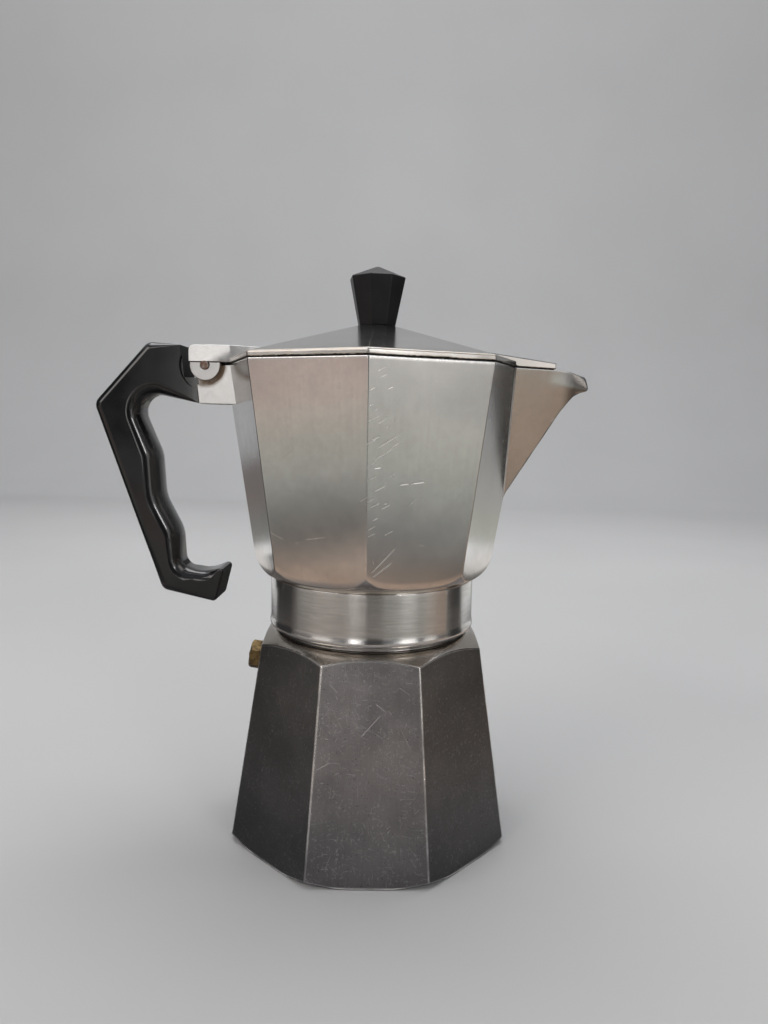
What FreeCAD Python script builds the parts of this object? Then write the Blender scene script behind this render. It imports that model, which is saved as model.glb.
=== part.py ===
import FreeCAD, Part
import math
import os
from FreeCAD import Placement, Rotation, Vector

os.makedirs("parts", exist_ok=True)

# Stovetop coffee maker: boiler below, funnel inside, collector with lid screwed on top.
# Millimetres. The origin is the centre of the base, +Z is up, +X is the spout, -X is the handle.
UP = Vector(0, 0, 1)
AXIS_Y = Vector(0, 1, 0)
SIDES = 8
STEP = 360.0 / SIDES
HALF_STEP = math.radians(STEP / 2)

# Boiler
BOILER_FOOT_RADIUS = 56.2      # corner radius of the octagon at the floor
BOILER_TAPER = 0.157           # corner radius lost per millimetre of height
BOILER_TURN = 2.5              # how far the boiler stands turned under the collector, degrees
BOILER_WALL = 3.0
BOILER_FLOOR = 3.5
FOOT_BEVEL = 4.0               # turned bevel that trims the corners at the floor
FOOT_BEVEL_RISE = 0.66         # its height for each millimetre of radius
SHOULDER_HEIGHT = 79.0         # where the shoulder meets the neck
SHOULDER_FALL = 0.58           # drop of the turned shoulder per millimetre of radius
SHOULDER_LAND = 1.8            # flat ring round the foot of the neck
NECK_RADIUS = 36.0
NECK_WALL = 4.2
NECK_HEIGHT = 13.0

# Safety valve in the facet on the handle's side
VALVE_HEIGHT = 65.8
VALVE_FLATS = 10.0
VALVE_HEAD = 4.6
VALVE_BEVEL = 1.0
VALVE_SHANK_RADIUS = 4.0
VALVE_BOSS_RADIUS = 7.5
VALVE_BOSS_DEPTH = 4.0         # how far the boss stands into the boiler
VALVE_BORE_RADIUS = 2.9
VALVE_INLET_RADIUS = 1.5
VALVE_SEAT = 1.5               # thickness of the inlet seat
WASHER_SHEET = 0.8
WASHER_RIM = 2.6               # ring width of the valve's washer
PLUNGER_HEAD = 1.2
STEM_RADIUS = 1.0
STEM_SHOWS = 0.6               # stem standing out of the hexagon
RETAINER_THICKNESS = 1.4
RETAINER_SET_IN = 0.4
SPRING_WIRE_RADIUS = 0.28
SPRING_TURNS = 3.5

# Funnel
FUNNEL_SHEET = 0.8
FUNNEL_RIM = 35.0
BASKET_DEPTH = 21.0
CONE_RADIUS = 15.0             # mouth of the cone in the basket's floor
CONE_HEIGHT = 9.0
TUBE_RADIUS = 5.2
TUBE_WALL = 0.8
TUBE_SLEEVE = 3.0              # length of the cone's end round the tube
TUBE_FOOT_GAP = 4.5            # room between the tube and the boiler floor
SIEVE_SHEET = 0.8
HOLE_RADIUS = 1.3
HOLE_SPACING = 7.2
HOLE_RINGS = 3

# Gasket and filter plate
GASKET_THICKNESS = 4.0
GASKET_BORE = 28.0
PLATE_SHEET = 0.6
PLATE_FLANGE = 4.4             # flange of the plate that the gasket holds
PLATE_DISH = 3.0

# Collector
SHOULDER_GAP = 1.7             # room between boiler shoulder and collar
COLLAR_HEIGHT = 19.5
COLLAR_WALL = 2.9
COLLAR_LIP = 2.0               # width of the rounding at the collar's lower edge
COLLAR_LIP_HEIGHT = 2.4
GROOVE_HEIGHT = 1.3
GROOVE_DEPTH = 0.8
COLLECTOR_FOOT_RADIUS = 45.75  # corner radius at the foot of the facets
COLLECTOR_RIM_RADIUS = 57.75
COLLECTOR_HEIGHT = 77.9
COLLECTOR_WALL = 2.5
UNDERSIDE_ROUND = 7.5
ROUND_STEPS = 4                # bevels that round the underside
INNER_ROUND_STEPS = 2
DOME_RADIUS = 25.0             # hollow under the collector's floor
DOME_HEIGHT = 10.6
FLOOR_CONE_RADIUS = 20.0       # cone that rises from the floor to the column
COLUMN_BOSS_RADIUS = 9.0
COLUMN_BOSS_HEIGHT = 8.0

# Column in the collector
COLUMN_RADIUS = 6.4
COLUMN_SPIGOT_RADIUS = 5.5
COLUMN_BORE = 3.6
COLUMN_BELOW_RIM = 16.0
COLUMN_CAP = 2.0
OUTLET_HEIGHT = 9.0
OUTLET_WIDTH = 3.6

# Spout: a beak with two flat sides and a turned-out lip
SPOUT_REACH = 80.8             # where the two sides would meet at the rim
SPOUT_HALF_ANGLE = 29.66       # of the two sides, seen from above
SPOUT_RISE = 58.3              # slope of the keel
SPOUT_WALL = 1.7
LIP_ROOT = 5.6                 # how far behind that meeting point the lip starts
LIP_LENGTH = 6.2
LIP_BEND = 0.55                # share of the lip's length where it turns over
LIP_BEND_RISE = 1.75           # rise of the keel up to that bend
LIP_BEND_DROP = 1.0            # fall of the top up to that bend
LIP_DROP = 4.9                 # how far the lip's end lies below the rim
LIP_HALF_WIDTH = 1.7
LIP_THICKNESS = 1.4

# Hinge
HINGE_X = -63.5
HINGE_BELOW_RIM = 0.5
PIN_RADIUS = 1.5
PIN_STANDS_OUT = 0.3
BRACKET_HALF = 9.0
BRACKET_BELOW_RIM = 14.8
BRACKET_REAR = 3.1             # from the pin's axis back to the bracket's end face
BRACKET_LEAN = 0.9
BRACKET_FLOOR = 1.8
KNUCKLE_RADIUS = 5.2
EAR_RADIUS = 5.75
EAR_THICKNESS = 1.6
POCKET_RADIUS = 7.7

# Lid
LID_GAP = 0.3                  # seam between collector rim and lid
LID_OVERHANG = 0.2
LID_RIM = 1.9
LID_SLOPE = 0.265              # rise of the lid's corner ridges
LID_SHEET = 1.6
LID_RIM_WALL = 2.2
LID_PAD = 7.3                  # corner radius of the flat under the knob
LID_TONGUE = 66.9              # reach of the tongue over the spout
LID_TONGUE_HEIGHT = 2.3
HINGE_TAB_TOP = 6.9            # height of the hinge channel over the rim
HINGE_TAB_FOOT = 0.7
HINGE_TAB_REAR = 5.7           # from the pin's axis back to the channel's ends
HINGE_TAB_BRIDGE = 2.4         # from the pin's axis back to the end of the channel's top
HINGE_TAB_ROUND = 2.0
HINGE_TAB_NOSE = -40.0         # where the channel runs out on the lid
HINGE_TAB_NOSE_HALF = 3.0

# Knob
KNOB_FOOT = 7.25
KNOB_WIDEST = 10.9
KNOB_WIDEST_HEIGHT = 17.7
KNOB_HEIGHT = 21.8
KNOB_TIP = 0.9
KNOB_TURN = 10.0
INSERT_RADIUS = 2.6
INSERT_LENGTH = 12.0
SCREW_RADIUS = 1.5
SCREW_LENGTH = 11.0
SCREW_HEAD_RADIUS = 3.3
SCREW_HEAD = 2.2
KNOB_WASHER_RADIUS = 4.6
KNOB_WASHER_SHEET = 0.8

# Handle, in the plane through the pot's axis
HANDLE_HALF = 8.5
HANDLE_ROUND = 3.0
HANDLE_CORNERS = [             # x, z and rounding of each corner: over the back, round the toe, up the grip
    (-85.9, 187.6, 4.0),
    (-107.3, 164.4, 4.5),
    (-81.7, 92.3, 4.0),
    (-60.2, 88.2, 1.5),
    (-56.4, 102.6, 1.5),
    (-65.5, 99.9, 12.0),
    (-74.3, 102.0, 4.5),
    (-74.4, 115.4, 15.0),
    (-81.4, 129.0, 15.0),
    (-82.4, 145.5, 15.0),
    (-93.8, 169.6, 6.5),
]
HANDLE_FRONT_TOP = 186.2
HANDLE_FRONT_SETBACK = 8.3     # from the pin's axis to the upper front face
HANDLE_FRONT_LEAN = 1.1
HANDLE_LEDGE = 4.6             # step under the pin where the handle meets the bracket
TONGUE_HALF = 4.4
TONGUE_LENGTH = 5.3            # from the pin's axis forward
TONGUE_LOBE = 4.6
HANDLE_POCKET = 9.8

# Clearances
THREAD_ROOM = 0.7              # between neck and collar, where the thread is
SLIDE_CLEARANCE = 0.5          # basket in the neck
SEAL_CLEARANCE = 0.3           # gasket in the collar, plate in the gasket
RUN_CLEARANCE = 0.08           # moving pin in its hole
FIT_CLEARANCE = 0.03           # fixed pin or sleeve in its hole
SIDE_CLEARANCE = 0.3           # ears beside bracket and handle
TONGUE_CLEARANCE = 0.2
SEAM = 0.1                     # handle against bracket
CUT_OVER = 2.0                 # how far a cutting solid runs past a face

# Heights and radii that follow from these sizes
neck_top = SHOULDER_HEIGHT + NECK_HEIGHT
neck_bore = NECK_RADIUS - NECK_WALL
shoulder_edge = NECK_RADIUS + SHOULDER_LAND
rim_top = neck_top + FUNNEL_SHEET
gasket_top = rim_top + GASKET_THICKNESS
ceiling = gasket_top + PLATE_SHEET
collar_bottom = SHOULDER_HEIGHT + SHOULDER_GAP
collar_bore = NECK_RADIUS + THREAD_ROOM
collar_radius = collar_bore + COLLAR_WALL
collar_top = collar_bottom + COLLAR_HEIGHT
collector_foot = collar_top + GROOVE_HEIGHT
collector_rim = collector_foot + COLLECTOR_HEIGHT
collector_slope = (COLLECTOR_RIM_RADIUS - COLLECTOR_FOOT_RADIUS) / COLLECTOR_HEIGHT
collector_floor = collector_foot + COLLECTOR_WALL
boss_top = collector_floor + COLUMN_BOSS_HEIGHT
dome_top = ceiling + DOME_HEIGHT
hinge = Vector(HINGE_X, 0, collector_rim - HINGE_BELOW_RIM)
knuckle_half = BRACKET_HALF - EAR_THICKNESS - SIDE_CLEARANCE
ear_inside = knuckle_half + SIDE_CLEARANCE
lid_bottom = collector_rim + LID_GAP
lid_radius = COLLECTOR_RIM_RADIUS + LID_OVERHANG
lid_shoulder = lid_bottom + LID_RIM
pad_height = lid_shoulder + LID_SLOPE * (lid_radius - LID_PAD)
sheet_drop = LID_SHEET * math.hypot(1, LID_SLOPE)
pad_underside = pad_height - sheet_drop
tab_top = collector_rim + HINGE_TAB_TOP


def ring_of_points(count, radius, height, turn=0.0):
    points = []
    for i in range(count):
        angle = math.radians(turn + i * 360.0 / count)
        points.append(Vector(radius * math.cos(angle), radius * math.sin(angle), height))
    return points


def flat(points):
    return Part.Face(Part.makePolygon(points + points[:1]))


def between(first, last):
    """Solid with flat faces between two polygons that have as many corners."""
    faces = [flat(first), flat(last)]
    for i in range(len(first)):
        a, b, c, d = first[i - 1], first[i], last[i], last[i - 1]
        way = (b - a).cross(d - a)
        if abs((c - a).dot(way)) < 1e-6 * way.Length:
            faces.append(flat([a, b, c, d]))
        else:
            faces += [flat([a, b, c]), flat([a, c, d])]
    solid = Part.Solid(Part.Shell(faces))
    if solid.Volume < 0:
        solid.reverse()
    return solid


def frustum(low_radius, low, high_radius, high, turn=0.0):
    low_ring = ring_of_points(SIDES, low_radius, low, turn)
    return between(low_ring, ring_of_points(SIDES, high_radius, high, turn))


def wire_in_xz(items):
    """Closed outline from (x, z) points; an item with two points is an arc's middle and end."""
    points = [Vector(item[0], 0, item[1]) for item in items if not isinstance(item[0], tuple)]
    last = points[0]
    edges = []
    for item in items[1:]:
        if isinstance(item[0], tuple):
            middle = Vector(item[0][0], 0, item[0][1])
            end = Vector(item[1][0], 0, item[1][1])
            edges.append(Part.Arc(last, middle, end).toShape())
        else:
            end = Vector(item[0], 0, item[1])
            edges.append(Part.makeLine(last, end))
        last = end
    if (last - points[0]).Length > 1e-6:
        edges.append(Part.makeLine(last, points[0]))
    return Part.Wire(edges)


def turned(items):
    return Part.Face(wire_in_xz(items)).revolve(Vector(), UP, 360)


def slab(items, half, start=None):
    """Outline in XZ made solid from y = start (default -half) to y = half."""
    start = -half if start is None else start
    face = Part.Face(wire_in_xz(items))
    face.translate(Vector(0, start, 0))
    return face.extrude(Vector(0, half - start, 0))


def plate(points, low, high):
    return flat([Vector(x, y, low) for x, y in points]).extrude(Vector(0, 0, high - low))


def ring(inner, outer, low, high):
    return turned([(inner, low), (outer, low), (outer, high), (inner, high)])


def hinge_disc(radius, start, end):
    return Part.makeCylinder(radius, end - start, hinge + AXIS_Y * start, AXIS_Y)


def corner_arc(before, corner, after, radius):
    """Start, middle and end of the arc of that radius in the corner of an (x, z) outline."""
    at = Vector(corner[0], corner[1], 0)
    back = (Vector(before[0], before[1], 0) - at).normalize()
    on = (Vector(after[0], after[1], 0) - at).normalize()
    half = back.getAngle(on) / 2
    run = radius / math.tan(half)
    middle = at + (back + on).normalize() * (radius / math.sin(half) - radius)
    start = at + back * run
    end = at + on * run
    return (start.x, start.y), (middle.x, middle.y), (end.x, end.y)


def boiler_corner(height):
    return BOILER_FOOT_RADIUS - BOILER_TAPER * height


def boiler_frustum(inset, low, high):
    turn = BOILER_TURN + STEP / 2
    drop = inset / math.cos(HALF_STEP)
    return frustum(boiler_corner(low) - drop, low, boiler_corner(high) - drop, high, turn)


def shoulder_at(radius):
    return SHOULDER_HEIGHT - SHOULDER_FALL * (radius - shoulder_edge)


def valve_frame():
    """Placement with +X out of the valve's facet and its origin on the facet."""
    lean = math.degrees(math.atan(BOILER_TAPER * math.cos(HALF_STEP)))
    reach = boiler_corner(VALVE_HEIGHT) * math.cos(HALF_STEP)
    turn = Rotation(UP, 180 + BOILER_TURN)
    at = turn.multVec(Vector(reach, 0, VALVE_HEIGHT))
    return Placement(at, turn.multiply(Rotation(AXIS_Y, -lean)))


def along_valve(radius, start, end):
    rod = Part.makeCylinder(radius, end - start, Vector(start, 0, 0), Vector(1, 0, 0))
    rod.Placement = valve_frame().multiply(rod.Placement)
    return rod


valve_inner_end = -(BOILER_WALL + VALVE_BOSS_DEPTH)
valve_face = WASHER_SHEET + VALVE_HEAD
seat_at = valve_inner_end + VALVE_SEAT
spring_start = seat_at + PLUNGER_HEAD
retainer_out = valve_face - RETAINER_SET_IN
retainer_in = retainer_out - RETAINER_THICKNESS


def boiler():
    wide = BOILER_FOOT_RADIUS + CUT_OVER
    foot = BOILER_FOOT_RADIUS - FOOT_BEVEL
    outside = turned([(0, 0), (foot, 0), (wide, (wide - foot) * FOOT_BEVEL_RISE), (wide, shoulder_at(wide)),
                      (shoulder_edge, SHOULDER_HEIGHT),
                      (NECK_RADIUS, SHOULDER_HEIGHT), (NECK_RADIUS, neck_top), (0, neck_top)])
    body = boiler_frustum(0, 0, neck_top).common(outside)
    inner_top = shoulder_at(boiler_corner(SHOULDER_HEIGHT)) - BOILER_WALL
    body = body.cut(boiler_frustum(BOILER_WALL, BOILER_FLOOR, inner_top))
    body = body.cut(Part.makeCylinder(neck_bore, neck_top, Vector(0, 0, inner_top - BOILER_WALL)))
    boss = along_valve(VALVE_BOSS_RADIUS, valve_inner_end, -BOILER_WALL / 2)
    hole = along_valve(VALVE_SHANK_RADIUS + FIT_CLEARANCE, valve_inner_end - CUT_OVER, CUT_OVER)
    return body.fuse(boss).cut(hole)


def valve_body():
    corner = VALVE_FLATS / 2 / math.cos(math.radians(30))
    head = flat(ring_of_points(6, corner, 0)).extrude(UP * VALVE_HEAD)
    head = head.common(Part.makeCone(corner + VALVE_HEAD, corner - VALVE_BEVEL, VALVE_HEAD))
    head.Placement = valve_frame().multiply(Placement(Vector(WASHER_SHEET, 0, 0), Rotation(AXIS_Y, 90)))
    shank = along_valve(VALVE_SHANK_RADIUS, valve_inner_end, WASHER_SHEET)
    bore = along_valve(VALVE_BORE_RADIUS, seat_at, valve_face + CUT_OVER)
    inlet = along_valve(VALVE_INLET_RADIUS, valve_inner_end - CUT_OVER, seat_at)
    return head.fuse(shank).cut(bore.fuse(inlet))


def valve_washer():
    outer = along_valve(VALVE_SHANK_RADIUS + WASHER_RIM, 0, WASHER_SHEET)
    return outer.cut(along_valve(VALVE_SHANK_RADIUS + FIT_CLEARANCE, -CUT_OVER, WASHER_SHEET + CUT_OVER))


def valve_plunger():
    head = along_valve(VALVE_BORE_RADIUS - RUN_CLEARANCE, seat_at, spring_start)
    return head.fuse(along_valve(STEM_RADIUS, seat_at, valve_face + STEM_SHOWS))


def valve_retainer():
    outer = along_valve(VALVE_BORE_RADIUS - FIT_CLEARANCE, retainer_in, retainer_out)
    hole = along_valve(STEM_RADIUS + RUN_CLEARANCE, retainer_in - CUT_OVER, retainer_out + CUT_OVER)
    return outer.cut(hole)


def biarc(start, start_way, end, end_way):
    """Two arcs that leave start along start_way and reach end along end_way."""
    span = end - start
    ways = start_way + end_way
    a = ways.dot(ways) - 4
    b = -2 * span.dot(ways)
    reach = (-b - math.sqrt(b * b - 4 * a * span.dot(span))) / (2 * a)
    near = start + start_way * reach
    far = end - end_way * reach
    joint = (near + far) * 0.5
    arcs = []
    for first, bend, last in ((start, near, joint), (joint, far, end)):
        centre = (first + last) * 0.5
        rise = bend - centre
        half_chord = (last - first).Length / 2
        sagitta = half_chord * math.tan(math.atan(rise.Length / half_chord) / 2)
        arcs.append(Part.Arc(first, centre + rise.normalize() * sagitta, last).toShape())
    return arcs


def valve_spring():
    coil = (STEM_RADIUS + VALVE_BORE_RADIUS) / 2
    low = spring_start + SPRING_WIRE_RADIUS
    length = retainer_in - spring_start - 2 * SPRING_WIRE_RADIUS
    quarters = round(SPRING_TURNS * 4)
    slope = length / (SPRING_TURNS * 2 * math.pi)

    def place(angle):
        return Vector(low + slope * angle, coil * math.cos(angle), coil * math.sin(angle))

    def way(angle):
        return Vector(slope, -coil * math.sin(angle), coil * math.cos(angle)).normalize()

    edges = []
    for i in range(quarters):
        a = i * math.pi / 2
        b = a + math.pi / 2
        edges += biarc(place(a), way(a), place(b), way(b))
    section = flat(ring_of_points(4, SPRING_WIRE_RADIUS, 0, 45)).OuterWire
    section.Placement = Placement(place(0), Rotation(UP, way(0)))
    tube = Part.Wire(edges).makePipeShell([section], True, False)
    tube.Placement = valve_frame()
    gap = length / SPRING_TURNS - 2 * SPRING_WIRE_RADIUS
    print("valve spring: least gap between turns", round(gap, 2), "mm")
    return tube


basket_radius = neck_bore - SLIDE_CLEARANCE
basket_bottom = rim_top - BASKET_DEPTH
cone_bottom = basket_bottom - CONE_HEIGHT
sleeve_radius = TUBE_RADIUS + FIT_CLEARANCE


def funnel_basket():
    inner = basket_radius - FUNNEL_SHEET
    floor = basket_bottom + FUNNEL_SHEET
    rim_bottom = rim_top - FUNNEL_SHEET
    return turned([(inner, rim_top), (inner, floor), (CONE_RADIUS, floor), (sleeve_radius, cone_bottom),
                   (sleeve_radius, cone_bottom - TUBE_SLEEVE),
                   (sleeve_radius + FUNNEL_SHEET, cone_bottom - TUBE_SLEEVE),
                   (CONE_RADIUS + FUNNEL_SHEET / 2, basket_bottom), (basket_radius, basket_bottom),
                   (basket_radius, rim_bottom), (FUNNEL_RIM, rim_bottom), (FUNNEL_RIM, rim_top)])


def funnel_tube():
    return ring(TUBE_RADIUS - TUBE_WALL, TUBE_RADIUS, BOILER_FLOOR + TUBE_FOOT_GAP, cone_bottom)


def perforated(disc, height):
    """Punch rings of small six-sided holes through a disc."""
    punch = flat(ring_of_points(6, HOLE_RADIUS, height - CUT_OVER)).extrude(UP * (2 * CUT_OVER))
    holes = [punch]
    for row in range(1, HOLE_RINGS + 1):
        for at in ring_of_points(6 * row, row * HOLE_SPACING, 0):
            holes.append(punch.translated(at))
    return disc.cut(holes)


def funnel_sieve():
    low = basket_bottom + FUNNEL_SHEET
    disc = Part.makeCylinder(basket_radius - FUNNEL_SHEET - FIT_CLEARANCE, SIEVE_SHEET, Vector(0, 0, low))
    return perforated(disc, low)


def gasket():
    return ring(GASKET_BORE, collar_bore - SEAL_CLEARANCE, rim_top, gasket_top)


def filter_plate():
    well = GASKET_BORE - SEAL_CLEARANCE
    low = ceiling - PLATE_SHEET - PLATE_DISH
    disc = turned([(0, low), (well, low), (well, gasket_top), (GASKET_BORE + PLATE_FLANGE, gasket_top),
                   (GASKET_BORE + PLATE_FLANGE, ceiling), (well - PLATE_SHEET, ceiling),
                   (well - PLATE_SHEET, low + PLATE_SHEET), (0, low + PLATE_SHEET)])
    return perforated(disc, low)


def collector_corner(height):
    return COLLECTOR_FOOT_RADIUS + collector_slope * (height - collector_foot)


def collector_frustum(inset, low, high):
    drop = inset / math.cos(HALF_STEP)
    return frustum(collector_corner(low) - drop, low, collector_corner(high) - drop, high)


def bowl(inset, steps):
    """Turned blank whose underside, rounded in steps, trims the octagon; inset makes the inner one."""
    wide = 2 * COLLECTOR_RIM_RADIUS
    high = collector_rim + CUT_OVER
    length = math.hypot(1, collector_slope)
    centre_z = collector_foot + UNDERSIDE_ROUND
    centre_r = collector_corner(centre_z) - UNDERSIDE_ROUND * length
    radius = UNDERSIDE_ROUND - inset
    turn = math.pi / 2 - math.atan(collector_slope)
    outline = [(0, centre_z - radius)]
    for i in range(steps):
        angle = turn * i / steps - math.pi / 2
        outline.append((centre_r + radius * math.cos(angle), centre_z + radius * math.sin(angle)))
    angle = turn * (steps - 0.5) / steps
    run = wide - outline[-1][0]
    outline.append((wide, outline[-1][1] + run * math.tan(angle)))
    return turned(outline + [(wide, high + run * math.tan(angle)), (0, high + run * math.tan(angle))])


def collar():
    groove = collar_radius - GROOVE_DEPTH
    return turned([(0, collar_bottom), (collar_radius - COLLAR_LIP, collar_bottom),
                   (collar_radius - COLLAR_LIP / 4, collar_bottom + COLLAR_LIP / 2),
                   (collar_radius, collar_bottom + COLLAR_LIP_HEIGHT), (collar_radius, collar_top),
                   (groove, collar_top), (groove, collector_floor), (0, collector_floor)])


def spout_section(x, low, half, top):
    return [Vector(x, 0, low), Vector(x, half, top), Vector(x, -half, top)]


def spout_wedge(start, end, shift=0.0, over=0.0):
    """Beak between two planes across X; shift moves its sides in, over lifts its top."""
    spread = math.tan(math.radians(SPOUT_HALF_ANGLE))
    rise = math.tan(math.radians(SPOUT_RISE))
    sections = []
    for x in (start, end):
        back = SPOUT_REACH - shift - x
        scale = 1 + over / (back * rise)
        half = back * spread * scale
        sections.append(spout_section(x, collector_rim - back * rise, half, collector_rim + over))
    return between(*sections)


def spout_lip():
    spread = math.tan(math.radians(SPOUT_HALF_ANGLE))
    rise = math.tan(math.radians(SPOUT_RISE))
    start = SPOUT_REACH - LIP_ROOT
    keel = collector_rim - (SPOUT_REACH - start) * rise
    half = (SPOUT_REACH - start) * spread
    middle = start + LIP_LENGTH * LIP_BEND
    end = start + LIP_LENGTH
    end_top = collector_rim - LIP_DROP
    root = spout_section(start, keel, half, collector_rim)
    bend_half = (half + LIP_HALF_WIDTH) / 2
    bend = spout_section(middle, keel + LIP_BEND_RISE, bend_half, collector_rim - LIP_BEND_DROP)
    edge = spout_section(end, end_top - LIP_THICKNESS, LIP_HALF_WIDTH, end_top)
    return between(root, bend).fuse(between(bend, edge))


def spout_channel():
    shift = SPOUT_WALL / math.sin(math.radians(SPOUT_HALF_ANGLE))
    inside = spout_wedge(0, SPOUT_REACH - shift - SPOUT_WALL, shift, CUT_OVER)
    rise = math.tan(math.radians(SPOUT_RISE))
    start = SPOUT_REACH - LIP_LENGTH - SPOUT_WALL
    end = SPOUT_REACH + CUT_OVER
    groove_floor = collector_rim - LIP_DROP - LIP_THICKNESS / 3
    over = collector_rim + CUT_OVER
    root = spout_section(start, collector_rim - (SPOUT_REACH - shift - start) * rise, SPOUT_WALL, over)
    bend = spout_section(SPOUT_REACH - SPOUT_WALL, groove_floor, SPOUT_WALL, over)
    edge = spout_section(end, groove_floor, SPOUT_WALL, over)
    return inside.fuse(between(root, bend)).fuse(between(bend, edge))


bracket_bottom = collector_rim - BRACKET_BELOW_RIM
ledge = hinge.z - HANDLE_LEDGE
bracket_rear = HINGE_X - BRACKET_REAR


def bracket_back(height):
    """X of the bracket's leaning end face at a height."""
    return bracket_rear + BRACKET_LEAN * (ledge - height) / (ledge - bracket_bottom)


def bracket():
    root = -COLLECTOR_RIM_RADIUS * math.cos(HALF_STEP) + COLLECTOR_WALL
    block = slab([(root, bracket_bottom), (bracket_back(bracket_bottom), bracket_bottom),
                  (bracket_back(ledge), ledge), (bracket_back(ledge), hinge.z), (root, hinge.z)],
                 BRACKET_HALF)
    block = block.cut(hinge_disc(POCKET_RADIUS, knuckle_half, BRACKET_HALF + CUT_OVER))
    block = block.cut(hinge_disc(POCKET_RADIUS, -BRACKET_HALF - CUT_OVER, -knuckle_half))
    return block.fuse(hinge_disc(KNUCKLE_RADIUS, -knuckle_half, knuckle_half))


def tongue_slot():
    front = HINGE_X + TONGUE_LENGTH + TONGUE_CLEARANCE
    half = TONGUE_HALF + TONGUE_CLEARANCE
    low = bracket_bottom + BRACKET_FLOOR
    return slab([(bracket_rear - POCKET_RADIUS, low), (front, low), (front, tab_top),
                 (bracket_rear - POCKET_RADIUS, tab_top)], half)


def collector():
    body = collector_frustum(0, collector_foot, collector_rim).common(bowl(0, ROUND_STEPS))
    body = body.fuse(collar())
    body = body.fuse(spout_wedge(COLLECTOR_FOOT_RADIUS, SPOUT_REACH - LIP_ROOT))
    body = body.fuse(spout_lip())
    body = body.fuse(bracket())
    cavity = collector_frustum(COLLECTOR_WALL, collector_foot, collector_rim + CUT_OVER)
    cavity = cavity.common(bowl(COLLECTOR_WALL, INNER_ROUND_STEPS))
    body = body.cut(cavity.fuse(spout_channel()))
    rise = turned([(0, collector_foot), (FLOOR_CONE_RADIUS, collector_foot),
                   (FLOOR_CONE_RADIUS, collector_floor), (COLUMN_BOSS_RADIUS, boss_top), (0, boss_top)])
    spigot_hole = COLUMN_SPIGOT_RADIUS + FIT_CLEARANCE
    below = turned([(0, collar_bottom - CUT_OVER), (collar_bore, collar_bottom - CUT_OVER),
                    (collar_bore, ceiling), (DOME_RADIUS, ceiling), (spigot_hole, dome_top),
                    (spigot_hole, boss_top + CUT_OVER), (0, boss_top + CUT_OVER)])
    pin_hole = hinge_disc(PIN_RADIUS + FIT_CLEARANCE, -2 * BRACKET_HALF, 2 * BRACKET_HALF)
    return body.fuse(rise).cut(below).cut(tongue_slot()).cut(pin_hole).removeSplitter()


def coffee_column():
    top = collector_rim - COLUMN_BELOW_RIM
    tube = turned([(COLUMN_BORE, dome_top), (COLUMN_SPIGOT_RADIUS, dome_top),
                   (COLUMN_SPIGOT_RADIUS, boss_top), (COLUMN_RADIUS, boss_top),
                   (COLUMN_RADIUS, top - COLUMN_CAP / 2), (COLUMN_RADIUS - COLUMN_CAP, top), (0, top),
                   (0, top - COLUMN_CAP), (COLUMN_BORE, top - COLUMN_CAP)])
    outlet = Part.makeBox(OUTLET_WIDTH, 4 * COLUMN_RADIUS, OUTLET_HEIGHT,
                          Vector(-OUTLET_WIDTH / 2, -2 * COLUMN_RADIUS, top - COLUMN_CAP - OUTLET_HEIGHT))
    return tube.cut(outlet)


def handle_outline():
    front = HINGE_X - HANDLE_FRONT_SETBACK
    front_top = (front - HANDLE_FRONT_LEAN, HANDLE_FRONT_TOP)
    end_low = (bracket_back(bracket_bottom) - SEAM, bracket_bottom + SEAM)
    end_high = (bracket_back(ledge) - SEAM, ledge)
    corners = [front_top] + HANDLE_CORNERS + [end_low]
    outline = [end_low, end_high, (front, ledge), front_top]
    for before, corner, after in zip(corners, corners[1:], corners[2:]):
        start, middle, end = corner_arc(before, corner, after, corner[2])
        outline += [start, (middle, end)]
    return wire_in_xz(outline)


def handle():
    face = Part.Face(handle_outline())
    face.translate(AXIS_Y * -HANDLE_HALF)
    grip = face.extrude(AXIS_Y * (2 * HANDLE_HALF))
    front = HINGE_X - HANDLE_FRONT_SETBACK - HANDLE_FRONT_LEAN
    edges = []
    for edge in grip.Edges:
        box = edge.BoundBox
        on_side = box.YLength < 1e-6
        at_hinge = box.XMin > front - 1e-6 and box.ZMin > bracket_bottom
        if on_side and not at_hinge:
            edges.append(edge)
    grip = grip.makeFillet(HANDLE_ROUND, edges)
    for side in (-1, 1):
        inner = side * knuckle_half
        outer = side * (HANDLE_HALF + CUT_OVER)
        grip = grip.cut(hinge_disc(HANDLE_POCKET, min(inner, outer), max(inner, outer)))
    low = bracket_bottom + BRACKET_FLOOR + TONGUE_CLEARANCE
    tongue = slab([(HINGE_X - HANDLE_FRONT_SETBACK, low), (HINGE_X + TONGUE_LENGTH, low),
                   (HINGE_X + TONGUE_LENGTH, hinge.z), (bracket_rear, hinge.z), (bracket_rear, ledge),
                   (HINGE_X - HANDLE_FRONT_SETBACK, ledge)], TONGUE_HALF)
    grip = grip.fuse(tongue).fuse(hinge_disc(TONGUE_LOBE, -TONGUE_HALF, TONGUE_HALF))
    return grip.cut(hinge_disc(PIN_RADIUS + FIT_CLEARANCE, -HANDLE_HALF, HANDLE_HALF)).removeSplitter()


def hinge_pin():
    return hinge_disc(PIN_RADIUS, -BRACKET_HALF - PIN_STANDS_OUT, BRACKET_HALF + PIN_STANDS_OUT)


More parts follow.
